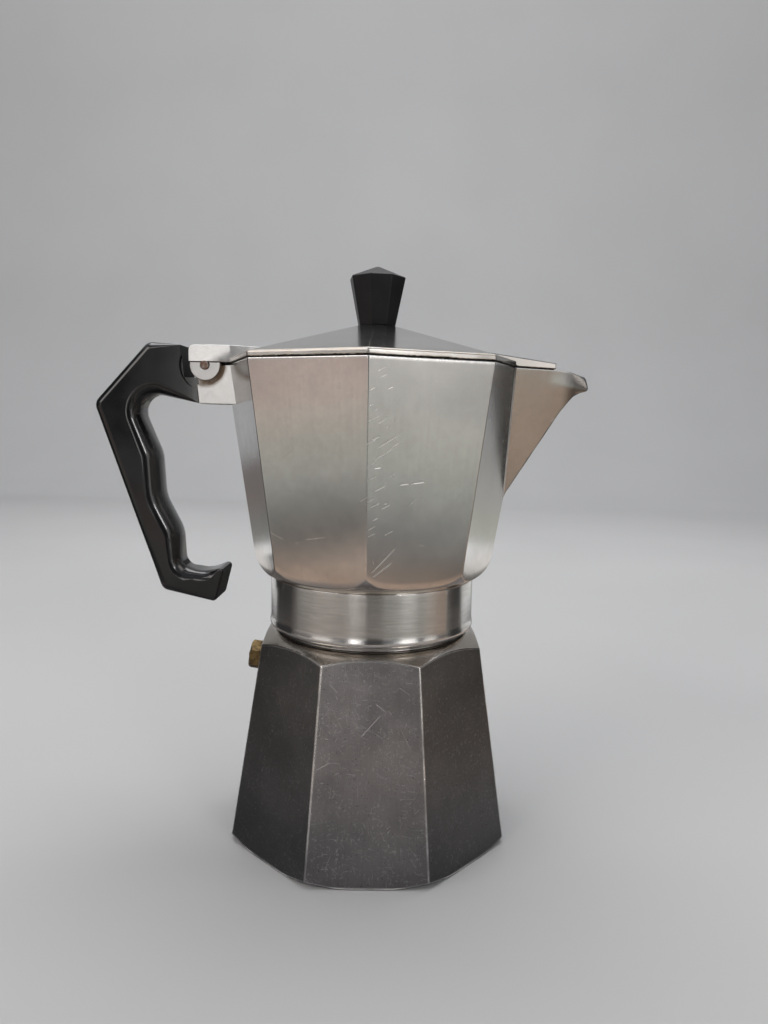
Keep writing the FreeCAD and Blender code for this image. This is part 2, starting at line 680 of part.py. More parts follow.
def lid_tab():
    """Hinge channel: a bridge with two cheeks that end in round ears."""
    rear = HINGE_X - HINGE_TAB_REAR
    low = collector_rim + HINGE_TAB_FOOT
    root = -lid_radius * math.cos(HALF_STEP)
    corner = corner_arc((rear, low), (rear, tab_top), (root, tab_top), HINGE_TAB_ROUND)
    half = BRACKET_HALF
    side = slab([(rear, low), corner[0], corner[1:], (HINGE_TAB_NOSE, tab_top), (HINGE_TAB_NOSE, low)], half)
    nose = HINGE_TAB_NOSE_HALF
    plan = plate([(rear, -half), (root, -half), (HINGE_TAB_NOSE, -nose), (HINGE_TAB_NOSE, nose), (root, half),
                  (rear, half)], low, tab_top)
    tab = side.common(plan)
    tab = tab.cut(hinge_disc(KNUCKLE_RADIUS + SIDE_CLEARANCE, -ear_inside, ear_inside))
    open_back = HINGE_X - HINGE_TAB_BRIDGE
    gap = slab([(rear - CUT_OVER, low - CUT_OVER), (open_back, low - CUT_OVER),
                (open_back, tab_top + CUT_OVER), (rear - CUT_OVER, tab_top + CUT_OVER)], ear_inside)
    return tab.cut(gap)


def lid():
    body = frustum(lid_radius, lid_shoulder, LID_PAD, pad_height)
    body = body.fuse(frustum(lid_radius, lid_bottom, lid_radius, lid_shoulder))
    spread = math.tan(math.radians(SPOUT_HALF_ANGLE))
    root = COLLECTOR_RIM_RADIUS * math.cos(HALF_STEP) - COLLECTOR_WALL * 2
    wide = (SPOUT_REACH - root) * spread
    narrow = (SPOUT_REACH - LID_TONGUE) * spread
    tongue = plate([(root, -wide), (LID_TONGUE, -narrow), (LID_TONGUE, narrow), (root, wide)],
                   lid_bottom, lid_bottom + LID_TONGUE_HEIGHT)
    body = body.fuse(tongue).fuse(lid_tab())
    inner = lid_radius - LID_RIM_WALL
    inner_shoulder = lid_shoulder + LID_SLOPE * LID_RIM_WALL - sheet_drop
    hollow = frustum(inner, lid_bottom - CUT_OVER, inner, inner_shoulder)
    hollow = hollow.fuse(frustum(inner, inner_shoulder, LID_PAD, pad_underside))
    body = body.cut(hollow)
    for side in (-1, 1):
        inside = side * ear_inside
        outside = side * (ear_inside + EAR_THICKNESS)
        body = body.fuse(hinge_disc(EAR_RADIUS, min(inside, outside), max(inside, outside)))
    screw_hole = Part.makeCylinder(SCREW_RADIUS + RUN_CLEARANCE, LID_SHEET + 2 * CUT_OVER,
                                   Vector(0, 0, pad_underside - CUT_OVER))
    pin_hole = hinge_disc(PIN_RADIUS + RUN_CLEARANCE, -2 * BRACKET_HALF, 2 * BRACKET_HALF)
    return body.cut(screw_hole).cut(pin_hole).removeSplitter()


def knob():
    turn = KNOB_TURN + STEP / 2
    widest = pad_height + KNOB_WIDEST_HEIGHT
    body = frustum(KNOB_FOOT, pad_height, KNOB_WIDEST, widest, turn)
    body = body.fuse(frustum(KNOB_WIDEST, widest, KNOB_TIP, pad_height + KNOB_HEIGHT, turn))
    hole = Part.makeCylinder(INSERT_RADIUS + FIT_CLEARANCE, INSERT_LENGTH, Vector(0, 0, pad_height))
    return body.cut(hole)


def knob_insert():
    return ring(SCREW_RADIUS + FIT_CLEARANCE, INSERT_RADIUS, pad_height, pad_height + INSERT_LENGTH)


def knob_washer():
    hole = SCREW_RADIUS + RUN_CLEARANCE
    return ring(hole, KNOB_WASHER_RADIUS, pad_underside - KNOB_WASHER_SHEET, pad_underside)


def knob_screw():
    seat = pad_underside - KNOB_WASHER_SHEET
    return turned([(0, seat - SCREW_HEAD), (SCREW_HEAD_RADIUS, seat - SCREW_HEAD), (SCREW_HEAD_RADIUS, seat),
                   (SCREW_RADIUS, seat), (SCREW_RADIUS, seat + SCREW_LENGTH), (0, seat + SCREW_LENGTH)])


for make in (boiler, valve_body, valve_washer, valve_plunger, valve_retainer, valve_spring, funnel_basket,
             funnel_tube, funnel_sieve, gasket, filter_plate, collector, coffee_column, handle, hinge_pin,
             lid, knob, knob_insert, knob_washer, knob_screw):
    make().exportStep("parts/" + make.__name__ + ".step")
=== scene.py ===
import random
from functools import cached_property, reduce
from math import atan, atan2, cos, degrees, exp, hypot, pi, radians, sin, sqrt, tan

import bmesh
import bpy
from mathutils import Matrix, Vector, geometry
from numpy import interp


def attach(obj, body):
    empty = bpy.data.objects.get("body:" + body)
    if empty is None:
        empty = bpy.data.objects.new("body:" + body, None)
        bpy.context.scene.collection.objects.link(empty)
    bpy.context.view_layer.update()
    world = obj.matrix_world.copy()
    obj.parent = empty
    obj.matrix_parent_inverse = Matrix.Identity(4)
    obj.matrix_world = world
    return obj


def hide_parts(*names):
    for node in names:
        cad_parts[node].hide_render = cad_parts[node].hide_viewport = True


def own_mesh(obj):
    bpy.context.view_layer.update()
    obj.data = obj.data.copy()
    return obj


# Stovetop coffee maker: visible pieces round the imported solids, in the same frame.
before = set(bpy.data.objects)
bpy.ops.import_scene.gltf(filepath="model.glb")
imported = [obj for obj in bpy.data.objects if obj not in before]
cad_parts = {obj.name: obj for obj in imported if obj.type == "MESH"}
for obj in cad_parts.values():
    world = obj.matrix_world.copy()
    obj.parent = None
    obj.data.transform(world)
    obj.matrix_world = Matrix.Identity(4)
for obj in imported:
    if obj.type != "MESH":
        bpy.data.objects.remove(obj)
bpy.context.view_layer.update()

# Sizes in millimetres, the same as the solids'
MM = 0.001
TAU = 2 * pi
QUARTER = TAU / 4
STEP = radians(45)
HALF = STEP / 2
FLAT = cos(HALF)

BOILER_TURN = radians(2.5)
BOILER_FOOT = 56.2
BOILER_TAPER = 0.157
BOILER_WALL = 3.0
BOILER_FLOOR = 3.5
FOOT_TRIM = 52.2
FOOT_RISE = 0.66
SHOULDER = 79.0
SHOULDER_FALL = 0.58
SHOULDER_EDGE = 37.8
BOILER_CEILING = 72.52
NECK = 36.0
NECK_BORE = 31.8
NECK_TOP = 92.0
VALVE_HEIGHT = 65.8
SPRING_LOW, SPRING_HIGH, SPRING_RADIUS, WIRE, VALVE_LIFT = -4.02, 3.32, 1.95, 0.28, 1.2

COLLAR_BOTTOM = 80.7
COLLAR_TOP = 100.2
COLLAR = 39.6
COLLAR_BORE = 36.7
GROOVE = 38.8
CEILING = 97.4
DOME = 25.0
DOME_TOP = 108.0
SPIGOT = 5.53
BOWL_FOOT = 101.5
BOWL_RIM = 179.4
FOOT_RADIUS = 45.75
RIM_RADIUS = 57.75
BOWL_WALL = 2.5
BOWL_FLOOR = 104.0
UNDERSIDE = 7.5
BOSS = 9.0
BOSS_TOP = 112.0
FLOOR_CONE = 20.0
BOWL_SLOPE = (RIM_RADIUS - FOOT_RADIUS) / (BOWL_RIM - BOWL_FOOT)

SPOUT_REACH = 80.8
SPOUT_HALF = radians(29.66)
SPOUT_RISE = tan(radians(58.3))
SPOUT_WALL = 1.7
BEAK_SIN, BEAK_COS, BEAK_TAN = sin(SPOUT_HALF), cos(SPOUT_HALF), tan(SPOUT_HALF)

HINGE = Vector((-63.5, 0.0, 178.9))
BRACKET_HALF = 9.0
BRACKET_ROOT = -51.5
BRACKET_BACK = -66.6
BRACKET_BOTTOM = 164.6
KNUCKLE = 5.2
KNUCKLE_HALF = 7.1
EAR_IN = 7.4
EAR_OUT = 8.82
EAR = 5.75
POCKET = 7.7
PIN = 1.5
LEDGE = 174.3

LID_BOTTOM = 179.7
LID_RIM = 181.6
LID_RADIUS = 57.95
LID_SLOPE = 0.265
LID_PAD = 7.3
LID_HOLE = 1.6
PAD_TOP = 195.02
PAD_UNDER = 193.37
LID_WALL = 2.2
TAB_TOP = 186.3
BRIDGE = 2.4

GAUGE = 0.8
BASKET_BORE = 30.5
BASKET_FLOOR = 72.6
BASKET_FLANGE = 35.0
CONE_BORE = 15.0
SLEEVE_BORE = 5.23
STEM = 5.2
STEM_BORE = 4.4
STEM_FOOT = 8.0
STEM_TOP = 62.8
SEAL_BOTTOM = 92.8
SEAL_TOP = 96.8
SEAL_RADIUS = 36.4
SEAL_BORE = 28.0
PLATE_BOTTOM = 93.8
PLATE_GAUGE = 0.6
PLATE_RADIUS = 27.7
PLATE_FLANGE = 32.4

THREAD_PITCH = 4.0
THREAD_WIDTH = 1.7
THREAD_SINK = 0.12

# Fineness of the meshes, and how their surface is measured
CORNER = 0.5
CORNER_STEPS = 4
GUARD = 1.7
SURF_UNIT = 50.0
WEAR_FROM, WEAR_RANGE = 2.5, 8.0
CUT_PAST = 2.0


def square(value):
    return value * value


def spaced(start, end, steps):
    """Evenly spaced values from start to end, with both."""
    return [start + (end - start) * j / steps for j in range(steps + 1)]


def shown(name, data):
    thing = bpy.data.objects.new(name, data)
    bpy.context.scene.collection.objects.link(thing)
    return thing


def solid(vertices, faces, places=()):
    """Mesh from points in millimetres, with those that coincide made one and its faces turned outward.
    Places on its surface, three numbers for each corner of each face, go to the attribute surf."""
    mesh = bpy.data.meshes.new("mesh")
    mesh.from_pydata([(x * MM, y * MM, z * MM) for x, y, z in vertices], [], faces)
    if places:
        mesh.attributes.new("surf", "FLOAT_VECTOR", "CORNER").data.foreach_set("vector", places)
    work = bmesh.new()
    work.from_mesh(mesh)
    bmesh.ops.remove_doubles(work, verts=work.verts, dist=1e-7)
    bmesh.ops.recalc_face_normals(work, faces=work.faces)
    work.to_mesh(mesh)
    work.free()
    return mesh


def mark_wear(mesh, worn):
    """Store on each point how much it stands on a convex edge, or nothing for a piece that isn't worn."""
    work = bmesh.new()
    work.from_mesh(mesh)
    wear = []
    for vertex in work.verts:
        angles = [edge.calc_face_angle_signed(0) for edge in vertex.link_edges if len(edge.link_faces) == 2]
        most = degrees(max([0] + angles))
        wear.append(min(1, max(0, (most - WEAR_FROM) / WEAR_RANGE)) if worn else 0)
    work.free()
    mesh.attributes.new("wear", "FLOAT", "POINT").data.foreach_set("value", wear)


def piece(name, mesh, body, material, stands_for=None, sharp=None, weighted=True, worn=True):
    """A finished piece of the object, riding on a body."""
    mesh.name = name
    thing = shown(name, mesh)
    mesh.materials.append(material)
    mesh.shade_smooth()
    if sharp is not None:
        mesh.set_sharp_from_angle(angle=radians(sharp))
    mark_wear(mesh, worn)
    if weighted:
        normals = thing.modifiers.new("normals", "WEIGHTED_NORMAL")
        normals.keep_sharp = sharp is not None
        normals.weight = 60
    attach(thing, body)
    if stands_for:
        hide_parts(stands_for)
    return thing


def bevel(thing, width, segments=3):
    """Rounded edges on a piece or node, put before its shading step."""
    step = thing.modifiers.new("edges", "BEVEL")
    step.width = width * MM
    step.segments = segments
    step.limit_method = "ANGLE"
    step.angle_limit = radians(30)
    step.use_clamp_overlap = True
    step.harden_normals = True
    if "normals" in thing.modifiers:
        thing.modifiers.move(len(thing.modifiers) - 1, 0)


def octagon(angle, apothem, rounding):
    """Distance from the axis to an octagon with rounded corners; corners lie at multiples of STEP."""
    away = abs(angle % STEP - HALF)
    flat_end = atan((apothem - rounding) * tan(HALF) / apothem)
    if away <= flat_end:
        return apothem / cos(away)
    centre = (apothem - rounding) / FLAT
    off = HALF - away
    return centre * cos(off) + sqrt(max(0, square(rounding) - square(centre * sin(off))))


def octagon_angles(flat_steps, corner=CORNER, turn=0):
    """Angles round an octagon, close together at its rounded corners."""
    angles = []
    edge = radians(corner)
    guard = GUARD * edge
    for side in range(8):
        start = turn + side * STEP
        angles.append(start - guard)
        angles += spaced(start - edge, start + edge, CORNER_STEPS)
        angles += spaced(start + guard, start + STEP - guard, flat_steps)[:-1]
    return angles


def meeting(low, high, gap):
    """Where gap changes sign between two values."""
    rising = gap(high) > gap(low)
    for _ in range(50):
        middle = (low + high) / 2
        if (gap(middle) > 0) == rising:
            high = middle
        else:
            low = middle
    return (low + high) / 2


def eased(points, easing, runs=None, steps=3):
    """Outline of (r, z) points whose corners, but not its ends, become short curves and whose runs are divided."""
    out = []
    for i, point in enumerate(points):
        here = Vector(point)
        curve = [here]
        if 0 < i < len(points) - 1 and easing[i]:
            back = Vector(points[i - 1]) - here
            on = Vector(points[i + 1]) - here
            run = min(easing[i], 0.45 * back.length, 0.45 * on.length)
            start = here + back.normalized() * run
            end = here + on.normalized() * run
            curve = [start * square(1 - t) + here * (2 * t * (1 - t)) + end * square(t) for t in spaced(0, 1, steps)]
        if out and runs:
            first = out[-1]
            out += [first.lerp(curve[0], t) for t in spaced(0, 1, runs[i - 1])[1:-1]]
        out += curve
    return [(p.x, p.y) for p in out]


def upright(angle, outline):
    return [(angle, r, z) for r, z in outline]


def skin(columns, closed):
    """Solid from columns of (angle, r, z), all with as many points; closed joins each column's ends, and otherwise
    they lie on the axis."""
    count = len(columns)
    rows = list(zip(*columns))
    vertices = [(r * cos(angle), r * sin(angle), z) for row in rows for angle, r, z in row]
    along = [0]
    for before, row in zip(rows, rows[1:]):
        along.append(along[-1] + sum(hypot(a[1] - b[1], a[2] - b[2]) for a, b in zip(row, before)) / count)
    faces = []
    places = []
    for i in range(len(rows) if closed else len(rows) - 1):
        j = (i + 1) % len(rows)
        low, high = along[i], along[j] if j else along[i] + 1
        for k in range(count):
            m = (k + 1) % count
            start = rows[i][k][0] * SURF_UNIT
            end = (rows[i][m][0] + (0 if m else TAU)) * SURF_UNIT
            faces.append([i * count + k, i * count + m, j * count + m, j * count + k])
            places += [start, low, 0, end, low, 0, end, high, 0, start, high, 0]
    return solid(vertices, faces, places)


def cast(angles, outline, closed=True):
    """Solid whose outline of (r, z) points is a function of the angle."""
    return skin([upright(angle, outline(angle)) for angle in angles], closed)


def lathe(points, easing, runs=None, steps=3, segments=128):
    """Turned solid from an outline that closes on its first point, which isn't eased."""
    outline = eased(points + points[:1], easing, runs, steps)[:-1]
    return cast(spaced(0, TAU, segments)[:-1], lambda angle: outline)


def tube(rings):
    """Solid through rings of points, all with as many, with a face at each end."""
    count = len(rings[0])
    last = (len(rings) - 1) * count
    faces = [list(range(count)), [last + i for i in reversed(range(count))]]
    for low in range(0, last, count):
        for i in range(count):
            j = (i + 1) % count
            faces.append([low + i, low + j, low + count + j, low + count + i])
    return solid([point for ring in rings for point in ring], faces)


def shape(outline, end, start=None):
    """Solid from an (x, z) outline, up to y = end, from start or from as far on the other side."""
    return tube([[(x, y, z) for x, z in outline] for y in (-end if start is None else start, end)])


def both_sides(outline, inner, outer):
    """The same plate on both sides of the pot's middle plane, the back one first."""
    return [shape(outline, outer, inner), shape(outline, -inner, -outer)]


def prism(plan, low, high):
    """Solid from an (x, y) plan; low and high give z from x."""
    return tube([[(x, y, level(x)) for x, y in plan] for level in (low, high)])


def circle(x, y, radius, segments):
    return [(x + radius * cos(angle), y + radius * sin(angle)) for angle in spaced(0, TAU, segments)[:-1]]


def round_hinge(radius, segments=64):
    return circle(HINGE.x, HINGE.z, radius, segments)


def wound(section, low, high, turns, per_turn, phase=0):
    """Solid that winds right-handed round the axis; section gives (r, height) points from how far along it is."""
    rings = []
    for t in spaced(0, 1, int(turns * per_turn)):
        angle = phase + t * turns * TAU
        z = low + t * (high - low)
        rings.append([(r * cos(angle), r * sin(angle), z + height) for r, height in section(t)])
    return tube(rings)


def combined(mesh, others, operation):
    """Mesh after a Boolean operation with each of the others."""
    body = shown("work", mesh)
    helpers = [shown("work", other) for other in others]
    for helper in helpers:
        step = body.modifiers.new("step", "BOOLEAN")
        step.solver = "EXACT"
        step.operation = operation
        step.object = helper
    graph = bpy.context.evaluated_depsgraph_get()
    result = bpy.data.meshes.new_from_object(body.evaluated_get(graph))
    for thing in [body] + helpers:
        bpy.data.objects.remove(thing)
    result.materials.clear()
    return result


# Materials

FRONT = -30
FADE = 0.3


def joining(operation):
    return lambda self, other: self.tree.math(operation, self, other)


class Value:
    """Output of a shader node, with arithmetic that adds math nodes."""

    def __init__(self, tree, socket):
        self.tree = tree
        self.socket = socket

    __mul__ = joining("MULTIPLY")
    __add__ = joining("ADD")
    __sub__ = joining("SUBTRACT")
    __lt__ = joining("LESS_THAN")

    def __abs__(self):
        return self.tree.math("ABSOLUTE", self)


class Tree:
    """Short way to write the nodes of a material, or of the world."""

    def __init__(self, name, kind="materials", shader="Principled BSDF"):
        self.owner = getattr(bpy.data, kind).new(name)
        self.owner.use_nodes = True
        self.nodes = self.owner.node_tree.nodes
        self.shader = self.nodes[shader]

    def feed(self, socket, value):
        if isinstance(value, Value):
            self.owner.node_tree.links.new(value.socket, socket)
        else:
            socket.default_value = (*value, 1) if socket.type == "RGBA" else value

    def node(self, kind, inputs=None, **settings):
        node = self.nodes.new("ShaderNode" + kind)
        for key, value in settings.items():
            setattr(node, key, value)
        for key, value in (inputs or {}).items():
            self.feed(node.inputs[key], value)
        return node

    def add(self, kind, inputs=None, output=0, **settings):
        return Value(self, self.node(kind, inputs, **settings).outputs[output])

    @cached_property
    def surf(self):
        """Place on the skin, in millimetres round it and along it."""
        return self.add("Attribute", output="Vector", attribute_name="surf")

    @cached_property
    def wear(self):
        return self.add("Attribute", output="Fac", attribute_name="wear")

    @cached_property
    def place(self):
        """Object coordinates in millimetres."""
        return self.scaled(self.add("TexCoord", output="Object"), 1000, 1000, 1000)

    def math(self, operation, *values):
        return self.add("Math", dict(enumerate(values)), operation=operation)

    def vector(self, operation, a, b):
        return self.add("VectorMath", {0: a, 1: b}, operation=operation)

    def scaled(self, vector, x, y, z=1):
        return self.vector("MULTIPLY", vector, (x, y, z))

    def split(self, vector):
        return [Value(self, socket) for socket in self.node("SeparateXYZ", {0: vector}).outputs]

    def turned(self, vector, angle, axis):
        return self.split(self.add("VectorRotate", {"Vector": vector, "Angle": angle}, rotation_type=axis + "_AXIS"))

    def noise(self, scale, detail=2, rough=0.5, at=None):
        inputs = {"Vector": at or self.place, "Scale": scale, "Detail": detail, "Roughness": rough}
        return self.add("TexNoise", inputs)

    def step(self, value, low, high, to_low=0, to_high=1):
        return self.add("MapRange", {0: value, 1: low, 2: high, 3: to_low, 4: to_high}, interpolation_type="SMOOTHSTEP")

    def mix(self, amount, a, b):
        return self.add("Mix", {0: amount, 6: a, 7: b}, output=2, data_type="RGBA")

    def coats(self, colour, *layers):
        """Colour after each (amount, colour) is laid over the one before."""
        for amount, over in layers:
            colour = self.mix(amount, colour, over)
        return colour

    def most(self, *values):
        return reduce(lambda a, b: self.math("MAXIMUM", a, b), values)

    def scratches(self, cell, half_length, half_width, share, tilt, spread):
        """Straight scratches on the skin, at most one in each cell, round a main direction."""
        at = self.scaled(self.surf, 1 / cell, 1 / cell, 0)
        cells = self.node("TexVoronoi", {"Vector": at, "Scale": 1}, voronoi_dimensions="2D")
        turn, chance, length = self.split(Value(self, cells.outputs["Color"]))
        offset = self.vector("SUBTRACT", at, Value(self, cells.outputs["Position"]))
        along, across, _ = self.turned(offset, turn * spread + (tilt - spread / 2), "Z")
        line = self.step(abs(across), half_width / cell, half_width * FADE / cell)
        ends = self.step(length * (half_length / cell) - abs(along), 0, half_length * 0.4 / cell)
        return line * ends * (chance < share)

    def scratch(self, ends, half_width=0.22, depth=FRONT):
        """One straight scratch between two (x, z) points, on what lies in front of y = depth."""
        (x0, z0), (x1, z1) = ends
        length = hypot(x1 - x0, z1 - z0)
        offset = self.vector("SUBTRACT", self.place, ((x0 + x1) / 2, 0, (z0 + z1) / 2))
        along, y, across = self.turned(offset, atan2(z1 - z0, x1 - x0), "Y")
        line = self.step(abs(across), half_width, half_width * FADE)
        return line * self.step(abs(along), length / 2, length * 0.3) * (y < depth)

    def slants(self, tilt, pitch, half_width):
        """Parallel scratches of uneven length to the right of the front corner."""
        x, y, z = self.split(self.place)
        over = z * cos(tilt) + x * -sin(tilt)
        index = self.math("FLOOR", over * (1 / pitch))
        at, length, chance = self.split(self.add("TexWhiteNoise", {"W": index}, "Color", noise_dimensions="1D"))
        line = self.step(abs(over - (index + 0.5) * pitch), half_width, half_width * FADE)
        centre = at * at * 9 + 1.2
        end = length * 1.7 + 0.3 - abs(x - centre)
        return line * self.step(end, 0, 0.5) * (y < FRONT) * (chance < 0.8)

    def finish(self, **sockets):
        for key, value in sockets.items():
            self.feed(self.shader.inputs[key.replace("_", " ")], value)
        return self.owner

    def surface(self, colour, rough, *bumps, **sockets):
        """Material with bumps of (height, millimetres, strength), each over the one before."""
        normal = {}
        for height, distance, strength in bumps:
            inputs = {"Height": height, "Distance": distance * MM, "Strength": strength}
            normal = {"Normal": self.add("Bump", inputs | normal)}
        return self.finish(Base_Color=colour, Roughness=rough, **normal, **sockets)


def grey(value, warm=0):
    return value * (1 + warm), value, value * (1 - warm)


SATIN_SCRATCHES = [
    ((1.2, 108.6), (9.6, 117.5)), ((1.8, 107.4), (8.6, 112.6)), ((2.4, 147.0), (9.0, 151.4)),
    ((3.2, 150.8), (10.6, 155.6)), ((10.5, 138.8), (13.6, 139.2)), ((14.6, 139.2), (18.7, 139.7)),
    ((2.0, 144.2), (4.6, 144.6)), ((3.4, 158.6), (6.3, 160.6)), ((1.4, 153.3), (4.0, 154.6))]
DULL_SCRATCHES = [
    ((-1.9, 50.6), (6.1, 59.5)), ((-16.3, 40.0), (-11.0, 43.1)), ((3.6, 63.0), (7.4, 60.2)),
    ((-9.0, 66.0), (-12.4, 69.6))]
RUBBED_AND_LIT_FACET = (250, 295)


def bowl_apothem(z, inset):
    return (FOOT_RADIUS + BOWL_SLOPE * (z - BOWL_FOOT)) * FLAT - inset


def beak_apex(z, inset):
    return SPOUT_REACH - inset / BEAK_SIN - (BOWL_RIM - z) / SPOUT_RISE


def beak_junction(z):
    """Where the beak's side meets the bowl's narrow facet, as (x, z)."""
    spread = sin(HALF) * BEAK_TAN
    return (bowl_apothem(z, 0) - beak_apex(z, 0) * spread) / (FLAT - spread), z


def satin_casting():
    """Collector: satin facets with fine upright grain, a scratched front edge and a few knocks."""
    t = Tree("satin_casting")
    x, _, z = t.split(t.place)
    grain = t.noise(1, 1, at=t.scaled(t.surf, 1.1, 0.025))
    cloud = t.noise(0.035, 3)
    patch = t.noise(0.11, 4, 0.6)
    mottle = t.noise(0.4, 4, 0.7)
    few = t.scratches(15, 6, 0.15, 0.22, 0.35, 1.2)
    short = t.scratches(7, 1.6, 0.15, 0.08, 0.2, 2.6)
    known = t.most(*map(t.scratch, SATIN_SCRATCHES))
    crowd = t.slants(radians(27), 2.1, 0.14) * t.step(z, 118, 126, 0, 0.7)
    knocks = t.add("TexVoronoi", {"Vector": t.surf, "Scale": 0.075}, voronoi_dimensions="2D")
    dents = t.most(few * 0.22, short * 0.4, crowd, known, t.step(knocks, 0.026, 0.012) * 0.18)
    edges = t.wear * t.step(z, 108, 111) * t.step(x, 60, 56)
    marks = t.most(dents, edges * t.step(t.noise(0.9, 3, 0.6), 0.54, 0.62))
    # Warm brown low on the bowl, fading out by z = 118 mm: painted reflection of the table.
    painted_warm_reflection = t.step(z, 118, 103) * t.step(cloud, 0.3, 0.65, 0.6, 1)
    # Beak's end darker in patches, from x = 69.5 mm outward.
    darker_beak_end = t.step(x, 69.5, 75) * t.step(patch, 0.3, 0.6, 0.45, 0.9)
    # Bright line along the beak's junction with the narrow facet: painted highlight.
    crease = t.scratch((beak_junction(112), beak_junction(186)), 0.5, 100)
    colour = t.coats(
        t.mix(t.step(cloud, 0.35, 0.68), grey(0.76, 0.008), grey(0.88, 0.014)),
        (t.step(grain, 0.3, 0.7, 0, 0.1), grey(0.55, 0.02)),
        (t.step(mottle, 0.36, 0.68, 0, 0.16), grey(0.5, 0.03)), (painted_warm_reflection * 0.6, (0.5, 0.4, 0.31)),
        (marks * 0.85, grey(0.96, 0.01)), (darker_beak_end, (0.2, 0.19, 0.18)), (crease, grey(0.97)))
    rough = patch * 0.1 + grain * 0.03 + mottle * 0.05 + dents * 0.25 + crease * 0.35 + 0.115
    return t.surface(colour, rough, (cloud, 0.5, 0.25), (dents, -0.06, 0.8), Metallic=1)


def dull_casting():
    """Boiler: oxidised and pitted, its front facet worn by rubbing and scratched and lighter towards its top as a
    painted reflection, bright where the edges are worn; upward faces get a painted warm reflection and downward faces
    painted shade.
    """
    t = Tree("dull_casting")
    round_it = t.split(t.surf)[0]
    height = t.split(t.place)[2]
    facing = t.split(t.add("NewGeometry", output="Normal"))[2]
    grain = t.noise(1, 1, at=t.scaled(t.surf, 1, 0.03))
    cloud = t.noise(0.03, 4, 0.55)
    blotch = t.noise(0.16, 5, 0.65)
    shoulder = t.step(facing, 0.3, 0.42)
    start, end, soft = (radians(angle) * SURF_UNIT for angle in (*RUBBED_AND_LIT_FACET, 0.5))
    front = t.step(round_it, start - soft, start + soft) * t.step(round_it, end + soft, end - soft)
    front = front * t.step(facing, 0.42, 0.3)
    mostly_front = t.step(front, 0, 1, 0.35, 1)
    specks = t.step(t.noise(1.1, 3, 0.6), 0.56, 0.66) * t.step(blotch, 0.34, 0.6) * mostly_front
    pits = t.step(t.noise(1.3), 0.36, 0.28)
    hair = t.scratches(2.4, 1.5, 0.09, 0.7, 0.6, 3.1)
    fine = t.scratches(5, 3, 0.12, 0.6, 0.9, 2)
    long_marks = t.scratches(26, 10, 0.16, 0.3, radians(48), 1.6)
    known = t.most(*map(t.scratch, DULL_SCRATCHES))
    marks = t.most(t.most(hair * 0.6, fine * 0.55, long_marks * 0.45) * mostly_front, known * 0.7)
    edge = t.wear * t.step(t.noise(0.09, 3), 0.36, 0.6, 0.3, 1)
    rubbed_and_lit = t.mix(t.step(t.noise(0.07, 4, 0.6), 0.36, 0.64), (0.44, 0.42, 0.43), (0.56, 0.53, 0.54))
    colour = t.coats(
        t.mix(t.step(cloud, 0.32, 0.7), grey(0.16), grey(0.23, 0.015)),
        # The front facet is lighter than the others and lighter towards its top: worn by rubbing, with a painted
        # reflection over it.
        (front * t.step(height, 0, 62, 0.4, 0.75), rubbed_and_lit),
        (t.step(grain, 0.35, 0.75, 0, 0.07), grey(0.1, 0.01)), (specks * 0.65, grey(0.6)),
        (pits * 0.5, grey(0.07, 0.02)), (marks * 0.75, grey(0.75)), (edge, grey(0.95, 0.01)),
        # Upward faces, such as the shoulder, take a warm tone that is a painted reflection; downward faces go near
        # black as painted shade.
        (shoulder * 0.8, (0.5, 0.455, 0.4)), (t.step(facing, -0.15, -0.45), grey(0.05, 0.03)))
    rough = blotch * 0.16 + edge * -0.12 + shoulder * -0.14 + 0.28
    return t.surface(colour, rough, (pits, -0.05, 0.6), (marks, -0.05, 0.6), (cloud, 0.4, 0.25), Metallic=1)


def turned_metal(name, low, high, rough_base, anisotropy):
    """Lathe-finished metal: rings round the axis."""
    t = Tree(name)
    rings = t.noise(1, 4, 0.6, t.scaled(t.surf, 0.03, 3))
    streak = t.noise(1, 4, 0.6, t.scaled(t.surf, 0.07, 2.2))
    marks = t.scratches(7, 4, 0.16, 0.4, 0, 0.7)
    colour = t.coats(
        t.mix(t.step(streak, 0.35, 0.65), grey(low, 0.015), grey(high, 0.02)),
        (marks * 0.5, grey(0.9, 0.01)), (t.wear * 0.6, grey(0.92, 0.015)))
    rough = rings * 0.12 + t.noise(0.12, 4, 0.6) * 0.1 + rough_base
    return t.surface(colour, rough, (rings, 0.012, 1), Metallic=1, Anisotropic=anisotropy, Anisotropic_Rotation=0.25,
                     Tangent=t.add("Tangent", direction_type="RADIAL", axis="Z"))


def polished_casting():
    """Lid: buffed, with faint hairlines, a stained joint line and a knocked rim."""
    t = Tree("polished_casting")
    cloud = t.noise(0.04, 3)
    patch = t.noise(0.5, 4, 0.65)
    hair = t.scratches(9, 6, 0.09, 0.5, 0.4, 3)
    edge = t.wear * t.step(patch, 0.35, 0.6, 0.25, 1)
    ragged = t.noise(0.7, 4, 0.7) * -1.6 + t.split(t.place)[2]
    stained_seam_and_painted_shadow = t.step(ragged, LID_BOTTOM - 0.5, LID_BOTTOM - 0.75)
    colour = t.coats(
        t.mix(t.step(cloud, 0.35, 0.65), grey(0.46, 0.012), grey(0.56, 0.02)),
        (hair * 0.35, grey(0.9)), (edge, (0.55, 0.5, 0.44)), (stained_seam_and_painted_shadow, (0.07, 0.055, 0.04)))
    rough = cloud * 0.08 + patch * 0.06 + t.wear * 0.16 + 0.1
    return t.surface(colour, rough, (cloud, 0.5, 0.25), (hair, -0.03, 0.4), Metallic=1)


